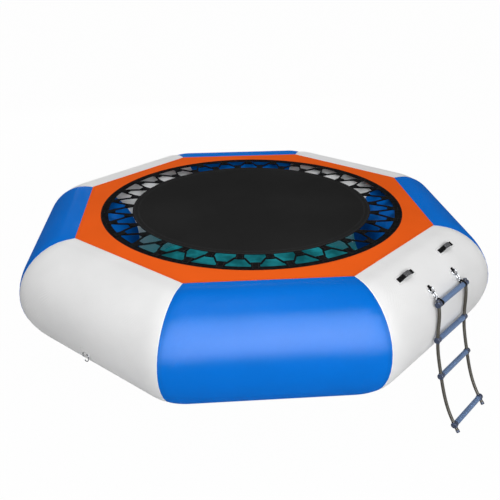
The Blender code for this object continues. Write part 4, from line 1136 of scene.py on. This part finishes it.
class TRAMPOLINE_OT_bungee(bpy.types.Operator):
    """Build the laced bungee, one stretch for each ring loop"""

    bl_idname = "trampoline.bungee"
    bl_label = "Bungee lacing"

    def execute(self, context):
        """Each stretch runs from the middle of one mat loop through a ring loop to the middle of the next
        mat loop, straight through the loops and bent at their sides."""
        bend = context.scene.mat_and_lacing.cord_bend
        mat_seat, ring_seat = HEM_EDGE + MAT_LOOP[0], RING_EDGE - RING_LOOP[0]
        mat_half, ring_half = MAT_LOOP[1] / 2 + BEND_ROOM, RING_LOOP[1] / 2 + BEND_ROOM
        stops = (
            (-0.5, mat_seat, 0.0), (-0.5, mat_seat, mat_half), (0.0, ring_seat, -ring_half),
            (0.0, ring_seat, ring_half), (0.5, mat_seat, -mat_half), (0.5, mat_seat, 0.0),
        )
        profile = round_profile(CORD_RADIUS, 12)
        for index in range(LOOP_COUNT):
            middle = LACING_PHASE + (index + 0.5) * LOOP_TURN
            corners = []
            for step, seat, half in stops:
                radial, across = radial_axes(middle + step * LOOP_TURN)
                corners.append(radial * seat + across * half + (0.0, 0.0, LACING_LEVEL))
            path = even_path(rounded_path(corners, bend), 64)
            skin = Skin().sweep(path, profile, (0.0, 0.0, 1.0), start=index * 0.311)
            name = f"bungee_{index + 1:02d}"
            piece = finish_piece(skin, name, "bungee_braid", "lacing_cord", blended=True)
            radial, _ = radial_axes(middle)
            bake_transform(piece)
        return {"FINISHED"}


def patch_skin(angle, facet, along, uphill, length, width, corner):
    """A patch on the tube: rings of a rounded rectangle shrunk towards its centre, on the curved skin,
    with its rim at the skin and its face a ply above it."""
    centre, turn = rounded_corners(length, width, corner, 9)
    face = PATCH + SEAT_GAP
    rows = [(0.0, SEAT_GAP), (0.0, PATCH * 0.6)]
    rows += [(inset, face) for inset in (0.0006, 0.003, 0.0045, 0.006)]
    rows += [(min(corner, width / 2) * share, face) for share in (0.45, 0.7, 0.98)]
    inset, lift = (np.array(column)[:, None] for column in zip(*rows))
    x = centre[None, :, 0] + (corner - inset) * np.cos(turn)
    y = centre[None, :, 1] + (corner - inset) * np.sin(turn)
    core = np.linspace(1.0, 0.0, 5)[1:, None]
    x = np.concatenate((x, x[-1:] * core))
    y = np.concatenate((y, y[-1:] * core))
    lift = np.concatenate((lift, np.full((4, 1), face)))
    rim = np.concatenate((inset, np.full((4, 1), corner)))
    points = on_tube(angle, facet, along + x, uphill + y, lift + 0 * x)
    chart = [np.concatenate((part, part[:, :1]), axis=1) for part in (x, y)]
    return Skin().grid(points, *chart, wrap=True, extra=rim + 0 * x)


class TRAMPOLINE_OT_hand_loops(bpy.types.Operator):
    """Build the two hand loops, their sleeves and their patches"""

    bl_idname = "trampoline.hand_loops"
    bl_label = "Hand loops"

    def execute(self, context):
        """The strap's side view is a row of rounded corners: foot, rise, crown, fall, foot. It is carried
        along the tube with the strap's width uphill."""
        seat = SEAT + STRAP_PLY / 2
        half = [(0.024, seat + 0.0225), (0.043, seat + 0.013), (0.052, seat), (0.083, seat)]
        view = [(-x, height) for x, height in reversed(half)] + [(0.0, seat + 0.0242)] + half
        view = even_path(rounded_path(view, HANDLE_TRIM, steps=8), 90)
        place = (LADDER_TURN, HANDLE_FACET)
        for side, sign in SIDES:
            along = HANDLE_CENTRE + sign * HANDLE_APART
            middle = on_tube(*place, along, HANDLE_UPHILL, 0.0)
            up_the_slope = unit(on_tube(*place, along, HANDLE_UPHILL + 0.01, 0.0) - middle)
            node = f"handle_{side}"
            path = on_tube(*place, along + view[:, 0], HANDLE_UPHILL, view[:, 1])
            strap = Skin().sweep(path, strap_profile(HANDLE_WIDTH, STRAP_PLY), up_the_slope)
            finish_piece(strap, node + "_strap", "handle_strap", node)
            self.build_sleeve(node, view, along, up_the_slope)
            patch = patch_skin(*place, along, HANDLE_UPHILL, *HANDLE_PATCH)
            name = f"handle_patch_{side}"
            finish_piece(patch, name + "_skin", "white_patch", name)
        return {"FINISHED"}

    def build_sleeve(self, node, view, along, up_the_slope):
        """The rubber sleeve on a loop's crown: its thickness times 1 + 0.1 sin(2 pi run / pitch)."""
        grip = bpy.context.scene.fittings.grip_length
        crown = view[np.abs(view[:, 0]) < grip / 2]
        path = on_tube(LADDER_TURN, HANDLE_FACET, along + crown[:, 0], HANDLE_UPHILL, crown[:, 1])
        path = even_path(path, 61)
        shape, across = strap_profile(*SLEEVE)
        run = np.linspace(0.0, grip, 61)[:, None, None]
        ribs = 1 + 0.10 * np.sin(2 * np.pi * run / SLEEVE_PITCH)
        tangent = unit(np.gradient(path, axis=0))
        normal = np.cross(np.broadcast_to(up_the_slope, path.shape), tangent)
        wide, thick = shape[None, :, :1], shape[None, :, 1:] * ribs
        points = path[:, None] + wide * up_the_slope + thick * normal[:, None]
        sleeve = Skin().grid(points, run[..., 0], across[None, :], wrap=True)
        sleeve.cap(points[0]).cap(points[-1], grip)
        body = frame["nodes"][node]["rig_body"]
        finish_piece(
            sleeve, node + "_sleeve", "grip_rubber", node, rides=body, sharp=50.0
        )


def keeper_skin(angle, facet, along, uphill, bar_lift):
    """The keeper strap: flat feet up and down the slope and an arch whose centre is the ring's bar."""
    turn = np.radians(np.linspace(158, 22, 13))
    arch = np.stack((KEEPER_RADIUS * np.cos(turn), bar_lift + KEEPER_RADIUS * np.sin(turn)), axis=1)
    low = SEAT + STRAP_PLY / 2
    foot = np.array(((0.0058, low + 0.0007), (0.0085, low), (0.019, low)))
    view = np.concatenate((foot[::-1] * (-1, 1), arch, foot))
    path = on_tube(angle, facet, along, uphill + view[:, 0], view[:, 1])
    run = section_points(angle, 0.0, 1.0, 0.0)
    return Skin().sweep(path, strap_profile(KEEPER_WIDTH, STRAP_PLY), run)


def ring_path(axes, half, depth):
    """A D-ring's centre line: bar, rounded shoulders and a bow that is half an ellipse."""
    turn = np.linspace(0.0, -np.pi, 33)
    bow = np.stack((half * np.cos(turn), (depth - RING_SHOULDER) * np.sin(turn) - RING_SHOULDER), axis=1)
    corners = [(-half, -RING_SHOULDER), (-half, 0.0), (half, 0.0), (half, -RING_SHOULDER)]
    shoulder = rounded_path(corners, 0.006, steps=8)
    flat = np.concatenate((shoulder[:-1], bow[:-1]))
    return in_frame(axes, *flat.T, 0.0)


def ring_station(label, angle, facet, along, uphill, way, size, keeper_finish):
    """Patch, keeper and D-ring at one place, with the ring hanging down the given way."""
    bar = facet_place(facet, along, uphill, BAR_LIFT)
    sink = uphill ** 2 / (2 * AXIS_HEIGHT)
    axes = hanging_frame(angle, bar, way)
    patch = patch_skin(angle, facet, along, 0.0, *RING_PATCH)
    finish_piece(patch, f"{label}_patch_skin", "white_patch", f"{label}_patch")
    keeper = keeper_skin(angle, facet, along, uphill, BAR_LIFT + sink)
    finish_piece(keeper, f"{label}_keeper_strap", keeper_finish, f"{label}_keeper")
    ring = Skin().sweep(ring_path(axes, *size), round_profile(RING_WIRE, 14), axes[3], closed=True)
    finish_piece(ring, f"{label}_ring_wire", "stainless", f"{label}_ring")
    return axes


class TRAMPOLINE_OT_anchors(bpy.types.Operator):
    """Build the three mooring rings"""

    bl_idname = "trampoline.anchors"
    bl_label = "Mooring rings"

    def execute(self, context):
        for label, angle in ANCHORS:
            ring_station(
                label, angle, ANCHOR_FACET, ANCHOR_ALONG, ANCHOR_UPHILL, (0.0, 0.0, -1.0), ANCHOR_RING,
                "white_strap",
            )
        return {"FINISHED"}


def hook_skin(axes, lead):
    """The hook's wire bow in the frame's YZ plane, its flat eye in the XY plane, and the collar that
    joins them."""
    turn = np.linspace(0.0, np.pi, 17)
    out, over = BOW_RADIUS * np.cos(turn), BOW_RADIUS * np.sin(turn)
    start, end = [(lead - FOOT_DEPTH, BOW_RADIUS)], [(-BOW_DEPTH - lead, BOW_RADIUS)]
    lower = np.stack((-FOOT_DEPTH - over, out), axis=1)
    upper = np.stack((-BOW_DEPTH + over, out), axis=1)[::-1]
    line = np.concatenate((start, lower, upper, end))
    skin = Skin().sweep(in_frame(axes, 0.0, *line.T), round_profile(HOOK_WIRE, 14), axes[1])
    eye = np.array(((1, EYE_TOP), (1, EYE_FOOT), (-1, EYE_FOOT), (-1, EYE_TOP))) * (EYE_HALF, -1)
    eye = rounded_path(eye, 0.004, closed=True, steps=6)
    skin.sweep(in_frame(axes, *eye.T, 0.0), round_profile(EYE_WIRE, 12), axes[3], closed=True)
    collar = np.array(((0.0, 1), (0.0036, 1), (0.0046, 0), (0.0036, -1), (0.0, -1))) * (1, COLLAR_HALF)
    middle = in_frame(axes, 0.0, -(FOOT_DEPTH + BOW_RADIUS + EYE_TOP) / 2, 0.0)
    return skin.turn(rounded_path(collar, 0.001, steps=3), (middle, axes[1], -axes[3], axes[2]), 24)


def gate_skin(axes, lead):
    """The gate's rod from its hinge to the hook's nose, and its pin: rounded profiles, spun."""
    foot, nose = FOOT_DEPTH - lead - 0.0009, BOW_DEPTH + lead + SEAT_GAP
    rod = [(0.0, 0.0), (GATE_RADIUS, 0.0), (GATE_RADIUS, foot - nose), (0.0, foot - nose)]
    hinge = in_frame(axes, 0.0, -foot, BOW_RADIUS)
    skin = Skin().turn(rounded_path(rod, 0.0006, steps=4), (hinge, axes[1], -axes[3], axes[2]), 16)
    pin = [(0.0, -PIN_HALF), (PIN_RADIUS, -PIN_HALF), (PIN_RADIUS, PIN_HALF), (0.0, PIN_HALF)]
    centre = hinge + axes[2] * GATE_RADIUS
    return skin.turn(rounded_path(pin, 0.0004, steps=3), (centre, axes[2], axes[3], axes[1]), 14)


def hanger_skin(axes, reach, width, ply):
    """A belt round the hook's eye and the top rung, whose straight sides touch both circles at the turn
    acos((R - r) / distance)."""
    drop = reach - EYE_FOOT
    large, small = RUNG_RADIUS + SEAT_GAP + ply / 2, EYE_WIRE + SEAT_GAP + ply / 2
    contact = math.acos((large - small) / drop)
    far = np.linspace(contact, 2 * np.pi - contact, 33)
    near = np.linspace(-contact, contact, 15)
    x = np.concatenate((large * np.cos(far), drop + small * np.cos(near)))
    y = np.concatenate((large * np.sin(far), small * np.sin(near)))
    belt = in_frame(axes, 0.0, -reach, 0.0) + x[:, None] * axes[2] + y[:, None] * axes[3]
    return Skin().sweep(belt, strap_profile(width, ply), axes[1], closed=True)


class TRAMPOLINE_OT_hooks(bpy.types.Operator):
    """Build the ladder's rings, snap hooks, gates and hanger straps"""

    bl_idname = "trampoline.hooks"
    bl_label = "Rings, hooks and hangers"

    def execute(self, context):
        """Everything on one side hangs from its ring's bar, in a frame whose -Y points at the top rung."""
        lead = context.scene.fittings.hook_end
        width = context.scene.boarding_ladder.strap_width
        ply = context.scene.mat_and_lacing.ply
        for side, sign in SIDES:
            along = LADDER_CENTRE + sign * HANGER_HALF
            target = np.array((RUNG_OUT[0], along, RUNG_UP[0]))
            drop = target - facet_place(LADDER_FACET, along, RING_UPHILL, BAR_LIFT)
            axes = ring_station(
                f"ladder_{side}", LADDER_TURN, LADDER_FACET, along, RING_UPHILL, drop, LADDER_RING,
                "sewn_strap",
            )
            hook, gate = hook_skin(axes, lead), gate_skin(axes, lead)
            finish_piece(hook, f"snap_hook_{side}_wire", "stainless", f"snap_hook_{side}")
            finish_piece(gate, f"snap_gate_{side}_rod", "stainless", f"snap_gate_{side}")
            hanger = hanger_skin(axes, np.linalg.norm(drop), width, ply)
            node = f"hanger_strap_{side}"
            finish_piece(hanger, f"hanger_{side}_strap", "sewn_strap", node)
        return {"FINISHED"}


def rail_way(index):
    """Direction of the rails through a rung: (cos, 0, sin) of the rail's slope there."""
    return np.array((math.cos(RAIL_SLOPES[index]), 0.0, math.sin(RAIL_SLOPES[index])))


def rail_line():
    """Centre line of the rails in the section: between rungs the cubic with the ends' ways as tangents,
    each as long as the chord, and straight through the caps."""
    places = [np.array((out, LADDER_CENTRE, up)) for out, up in zip(RUNG_OUT, RUNG_UP)]
    share = np.linspace(0.0, 1.0, 25)[:, None]
    line = [places[0][None] - rail_way(0) * (CAP_RADIUS + RAIL_LEAD)]
    for index in range(3):
        near, far = rail_way(index), rail_way(index + 1)
        start, end = places[index] + near * CAP_RADIUS, places[index + 1] - far * CAP_RADIUS
        size = np.linalg.norm(end - start)
        square, cube = share ** 2, share ** 3
        span = start * (2 * cube - 3 * square + 1) + end * (3 * square - 2 * cube)
        span = span + near * size * (cube - 2 * square + share) + far * size * (cube - square)
        line.append(span)
    line.append(places[3][None] + rail_way(3) * (CAP_RADIUS + RAIL_TAIL))
    return np.concatenate(line)


class TRAMPOLINE_OT_rails(bpy.types.Operator):
    """Build the ladder's two bent rails with their plugs and feet"""

    bl_idname = "trampoline.rails"
    bl_label = "Ladder rails"

    def execute(self, context):
        """Plug and foot are rounded profiles spun round the rail's end."""
        line = rail_line()
        run = section_points(LADDER_TURN, 0.0, 1.0, 0.0)
        for side, sign in SIDES:
            local = line + np.array((0.0, sign * RAIL_HALF, 0.0))
            path = section_points(LADDER_TURN, *local.T)
            rail = Skin().sweep(path, round_profile(RAIL_RADIUS, 24), run)
            finish_piece(rail, f"rail_{side}_tube", "rail_coating", f"rail_{side}")
            ends = (
                ("plug", path[0], -rail_way(0), RAIL_PLUG, 0.0015),
                ("foot", path[-1], rail_way(3), RAIL_FOOT, 0.0012),
            )
            for kind, place, way, profile, trim in ends:
                aim = section_points(LADDER_TURN, *way)
                axes = (place, run, np.cross(aim, run), aim)
                end = Skin().turn(rounded_path(profile, trim, steps=4), axes, 28)
                node = f"rail_{kind}_{side}"
                finish_piece(end, node + "_cover", "cap_plastic", node)
        return {"FINISHED"}


def rung_cap_skin(axes, way, sign):
    """A rounded profile with a groove, and a bead round each mouth of the rail's hole."""
    view = [
        (0.0, CAP_LENGTH), (CAP_RADIUS, CAP_LENGTH), (CAP_RADIUS, 0.0030), (CAP_GROOVE, 0.0026),
        (CAP_GROOVE, 0.0016), (CAP_RADIUS, 0.0012), (CAP_RADIUS, 0.0), (0.0, 0.0),
    ]
    view = rounded_path(view, (0.0, 0.003, 0.0003, 0.0003, 0.0003, 0.0003, 0.0006, 0.0), steps=5)
    seat = axes[0] + axes[3] * sign * (RUNG_LENGTH / 2 + SEAT_GAP)
    skin = Skin().turn(view, (seat, axes[1], axes[2] * sign, axes[3] * sign), 40)
    middle = axes[0] + axes[3] * sign * RAIL_HALF
    turn = full_turn(28)[:-1, None]
    circle = np.cos(turn) * axes[3] + np.sin(turn) * np.cross(way, axes[3])
    for mouth in (-1, 1):
        centre = middle + way * mouth * (CAP_RADIUS - 0.0014)
        skin.sweep(centre + BEAD_RADIUS * circle, round_profile(BEAD_WIRE, 8), way, closed=True)
    return skin


class TRAMPOLINE_OT_rungs(bpy.types.Operator):
    """Build the four rungs and their end caps"""

    bl_idname = "trampoline.rungs"
    bl_label = "Rungs and caps"

    def execute(self, context):
        """A rung's radius is R - depth (1/2 - 1/2 cos(flutes x turn)). The flutes fade near its ends."""
        ladder = context.scene.boarding_ladder
        turn = full_turn(ladder.flutes * 6)
        share = np.array((-1, -0.97, -0.94, -0.9, -0.5, 0, 0.5, 0.9, 0.94, 0.97, 1))[:, None]
        place = RUNG_LENGTH / 2 * share
        fade = np.clip((0.94 - np.abs(share)) / 0.04, 0, 1)
        flutes = 0.5 - 0.5 * np.cos(ladder.flutes * turn[None, :-1])
        radius = RUNG_RADIUS - ladder.flute_depth * fade * flutes
        near_end = RUNG_LENGTH / 2 - np.abs(place)
        for index, (out, up) in enumerate(zip(RUNG_OUT, RUNG_UP)):
            node = f"rung_{index + 1}"
            axes = local_frame(LADDER_TURN, (out, LADDER_CENTRE, up), (0.0, 0.0, 1.0), (1.0, 0.0, 0.0))
            points = spun_points(axes, radius, turn[:-1], place)
            tube = Skin()
            tube.grid(points, place, turn[None, :] * RUNG_RADIUS, wrap=True, extra=near_end + 0 * radius)
            tube.cap(points[0]).cap(points[-1])
            finish_piece(tube, node + "_tube", "rung_aluminium", node, sharp=60.0)
            way = section_points(LADDER_TURN, *rail_way(index))
            for side, sign in SIDES:
                cap = rung_cap_skin(axes, way, sign)
                name = f"{node}_cap_{side}"
                finish_piece(cap, name + "_cover", "cap_plastic", name)
        return {"FINISHED"}


class TRAMPOLINE_OT_valve(bpy.types.Operator):
    """Build the inflation valve on the back section"""

    bl_idname = "trampoline.valve"
    bl_label = "Inflation valve"

    def execute(self, context):
        """Body, plunger and cap are rounded profiles spun round the valve's axis."""
        place = facet_place(VALVE_FACET, 0.0, 0.0, 0.0)
        normal = unit(facet_place(VALVE_FACET, 0.0, 0.0, 1.0) - place)
        axes = local_frame(VALVE_TURN, place, (0.0, 1.0, 0.0), np.cross(normal, (0.0, 1.0, 0.0)))
        body = rounded_path(VALVE_BODY, 0.0007, closed=True, steps=3)
        body = Skin().turn(body, axes, 48, closed=True)
        finish_piece(body, "valve_body_shell", "valve_plastic", "valve_body")
        plunger = Skin().turn(rounded_path(VALVE_PLUNGER, 0.0005, steps=3), axes, 32)
        finish_piece(plunger, "valve_plunger_stem", "valve_plastic", "valve_plunger")
        turn = np.linspace(0.0, COIL_TURNS * 2 * np.pi, 161)
        coil = spun_points(axes, COIL_RADIUS, turn, np.linspace(*COIL_ENDS, 161))
        spring = Skin().sweep(coil, round_profile(COIL_WIRE, 8), axes[3])
        piece = finish_piece(
            spring, "valve_spring_coil", "stainless", "valve_spring", blended=True
        )
        foot, head = (tuple(point.tolist()) for point in in_frame(axes, 0.0, 0.0, np.array(COIL_ENDS)))
        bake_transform(piece)
        cap = self.cap_skin(axes, context.scene.fittings.valve_ribs)
        finish_piece(cap, "valve_cap_cover", "valve_plastic", "valve_cap", sharp=45.0)
        return {"FINISHED"}

    def cap_skin(self, axes, ribs):
        """The cap's side draws in by depth (1/2 - 1/2 cos(ribs x turn)), and its grip is a square bar."""
        inner = VALVE_CAP_BORE / math.cos(math.pi / 16)
        outer = inner + VALVE_CAP_WALL
        view = [
            (0.0, 0.0153), (outer, 0.0153), (outer, 0.0031), (inner, 0.0031), (inner, 0.0123), (0.0, 0.0123)
        ]
        view = rounded_path(view, (0.0, 0.0014, 0.0005, 0.0004, 0.0004, 0.0), steps=4)
        turn = full_turn(144)
        across, height = view[:, :1], view[:, 1:]
        ribbed = (across > outer - 0.0003) * (height > 0.0045) * (height < 0.0135)
        radius = across - VALVE_CAP_RIB * ribbed * (0.5 - 0.5 * np.cos(ribs * turn[None, :-1]))
        run = np.linspace(0.0, 0.06, len(view))[:, None]
        points = spun_points(axes, radius, turn[:-1], height)
        skin = Skin().grid(points, run, turn[None, :] * outer, wrap=True)
        bar = in_frame(axes, np.linspace(-VALVE_GRIP_HALF, VALVE_GRIP_HALF, 9), 0.0, 0.0163)
        return skin.sweep(bar, strap_profile(0.005, 0.005, 5), axes[2])


# Studio


def area_light(name, place, target, size, power):
    """A rectangular lamp at a place, facing a target."""
    lamp = bpy.data.lights.new(name, "AREA")
    lamp.shape = "RECTANGLE"
    lamp.size, lamp.size_y = size
    lamp.energy = power
    item = bpy.data.objects.new(name, lamp)
    bpy.context.scene.collection.objects.link(item)
    item.location = place
    from_target = np.asarray(place, float) - np.asarray(target, float)
    item.rotation_euler = (
        math.acos(from_target[2] / np.linalg.norm(from_target)), 0.0,
        math.atan2(from_target[1], from_target[0]) + math.pi / 2,
    )
    item.visible_camera = False
    return item


class TRAMPOLINE_OT_studio(bpy.types.Operator):
    """Set the camera, the lights, the floor and the water under the mat"""

    bl_idname = "trampoline.studio"
    bl_label = "Studio"

    def execute(self, context):
        settings = context.scene.studio
        context.scene.view_settings.view_transform = "Standard"
        self.place_the_camera(context, settings)
        lamps = (
            ("key", (-0.8, -1.6, 5.6), (0.0, 0.0, 0.4), (3.0, 3.0), settings.key_power),
            ("front", (0.9, -7.2, 3.0), (0.0, 0.0, 0.4), (3.2, 2.4), settings.front_power),
            ("back", (-0.6, 7.4, 1.5), (0.0, 0.0, 0.5), (5.0, 2.4), settings.back_power),
            ("strip", (0.5, -6.3, 3.45), (0.0, 0.0, 1.22), (9.0, 7.9), settings.sheen_power),
        )
        for name, place, target, size, power in lamps:
            lamp = area_light(name, place, target, size, power)
            lamp.visible_diffuse = name != "strip"
        self.light_the_world(context, settings)
        self.lay_the_floor(settings)
        self.fill_the_well(settings)
        return {"FINISHED"}

    def place_the_camera(self, context, settings):
        """The camera's axes come from azimuth, elevation and roll: forward is (-sin a cos e, cos a cos e,
        -sin e), right is forward x Z turned by the roll, and up is right x forward."""
        azimuth, elevation, roll = (math.radians(value) for value in settings.camera_turn)
        level = math.cos(elevation)
        forward = np.array((-math.sin(azimuth) * level, math.cos(azimuth) * level, -math.sin(elevation)))
        right = unit(np.cross(forward, (0.0, 0.0, 1.0)))
        up = np.cross(right, forward)
        level_right = math.cos(roll) * right + math.sin(roll) * up
        level_up = -math.sin(roll) * right + math.cos(roll) * up
        matrix = np.eye(4)
        matrix[:3, :3] = np.stack((level_right, level_up, -forward), axis=1)
        matrix[:3, 3] = settings.camera_place
        lens = bpy.data.cameras.new("studio_camera")
        lens.sensor_width = SENSOR
        lens.sensor_fit = "HORIZONTAL"
        lens.lens = settings.focal_pixels / PICTURE_PIXELS * SENSOR
        camera = bpy.data.objects.new("studio_camera", lens)
        context.scene.collection.objects.link(camera)
        camera.matrix_world = Matrix(matrix.tolist())
        context.scene.camera = camera

    def light_the_world(self, context, settings):
        """White for the camera, reflections and clear things, and the ambient strength for the rest."""
        world = bpy.data.worlds.new("studio_world")
        context.scene.world = world
        world.use_nodes = True
        make = Nodes(world.node_tree)
        level = make.ramp(make.shown(), 0.0, 1.0, settings.ambient, 1.0)
        background = make.tree.nodes["Background"]
        make.feed(background, "Color", WHITE)
        make.feed(background, "Strength", level)

    def lay_the_floor(self, settings):
        """A wide disc of rings, pale and matt. To the camera and in reflections it is nearly white, with
        a trace of shadow."""
        turn = full_turn(96)
        radius = np.array(FLOOR_RADII)[:, None]
        points = round_points(radius, settings.floor_level, turn[None, :-1])
        skin = Skin().grid(points, radius, turn[None, :], wrap=True)
        make = Finish("studio_floor", 0.9, specular=0.1)
        grain = make.noise(3.0, 3.0)
        toned = make.tint(grain, settings.floor, 0.995, 1.005)
        make.done(toned)
        glow = make.node("ShaderNodeEmission", {"Color": WHITE, "Strength": 1.0})
        share = make.times(make.shown(), 0.985)
        shown = make.node("ShaderNodeMixShader", {0: share, 1: make.shader.outputs[0], 2: glow.outputs[0]})
        make.hidden_from_below(shown.outputs[0])
        mesh_object(skin, "studio_floor_disc", make.material, up=True)

    def fill_the_well(self, settings):
        """A disc of pool water inside the float at the waterline. It is no lamp, but glows in the water's
        colour as painted light, with brighter and darker patches. It keeps light out of the well from
        below, and the camera sees it through the lacing from above only."""
        turn = full_turn(96)
        radius = np.linspace(0.0, WELL_RADIUS, 24)[:, None]
        points = round_points(radius, 0.0, turn[None, :-1])
        x, y = points[..., 0], points[..., 1]
        points[..., 2] = 0.004 + 0.002 * np.sin(9 * x + 3 * y) * np.sin(7 * y - 2 * x)
        skin = Skin().grid(points, radius, turn[None, :], wrap=True)
        make = Finish("pool_water", 0.1, specular=0.5)
        light = make.ramp(make.noise(5.5, 4.0), 0.35, 0.70)
        toned = make.tint(light, settings.water, 0.55, 1.45)
        # Painted light: the water glows in its colour instead of being lit by the lamps.
        glow = make.node("ShaderNodeEmission", {"Color": toned, "Strength": 1.0})
        make.hidden_from_below(glow.outputs[0])
        mesh_object(skin, "pool_water_disc", make.material, up=True)


class TRAMPOLINE_PT_studio(bpy.types.Panel):
    """Lists the pieces and their settings"""

    bl_label = "Water trampoline"
    bl_idname = "TRAMPOLINE_PT_studio"
    bl_space_type = "VIEW_3D"
    bl_region_type = "UI"
    bl_category = "Trampoline"

    def draw(self, context):
        scene = context.scene
        for settings in (
            scene.tube_skins, scene.mat_and_lacing, scene.boarding_ladder, scene.fittings, scene.studio
        ):
            box = self.layout.box()
            for name in settings.bl_rna.properties.keys():
                if name not in ("rna_type", "name"):
                    box.prop(settings, name)
        for operator in OPERATORS:
            self.layout.operator(operator.bl_idname)


SETTINGS = (
    ("tube_skins", TubeSkinSettings),
    ("mat_and_lacing", MatAndLacingSettings),
    ("boarding_ladder", BoardingLadderSettings),
    ("fittings", FittingSettings),
    ("studio", StudioSettings),
)
OPERATORS = (
    TRAMPOLINE_OT_studio, TRAMPOLINE_OT_bungee, TRAMPOLINE_OT_tubes, TRAMPOLINE_OT_apron,
    TRAMPOLINE_OT_webbing, TRAMPOLINE_OT_mat, TRAMPOLINE_OT_hand_loops, TRAMPOLINE_OT_anchors,
    TRAMPOLINE_OT_hooks, TRAMPOLINE_OT_rails, TRAMPOLINE_OT_rungs, TRAMPOLINE_OT_valve,
)


def register():
    """Register the settings, the operators and the panel."""
    for name, group in SETTINGS:
        bpy.utils.register_class(group)
        setattr(bpy.types.Scene, name, PointerProperty(type=group))
    for operator in OPERATORS:
        bpy.utils.register_class(operator)
    bpy.utils.register_class(TRAMPOLINE_PT_studio)


def unregister():
    """Take them out again, in the opposite order."""
    bpy.utils.unregister_class(TRAMPOLINE_PT_studio)
    for operator in reversed(OPERATORS):
        bpy.utils.unregister_class(operator)
    for name, group in reversed(SETTINGS):
        delattr(bpy.types.Scene, name)
        bpy.utils.unregister_class(group)


def main():
    """Build the studio and every piece."""
    register()
    bpy.ops.trampoline.studio()
    bpy.ops.trampoline.bungee()
    bpy.ops.trampoline.tubes()
    bpy.ops.trampoline.apron()
    bpy.ops.trampoline.webbing()
    bpy.ops.trampoline.mat()
    bpy.ops.trampoline.hand_loops()
    bpy.ops.trampoline.anchors()
    bpy.ops.trampoline.hooks()
    bpy.ops.trampoline.rails()
    bpy.ops.trampoline.rungs()
    bpy.ops.trampoline.valve()


if __name__ == "__main__":
    main()
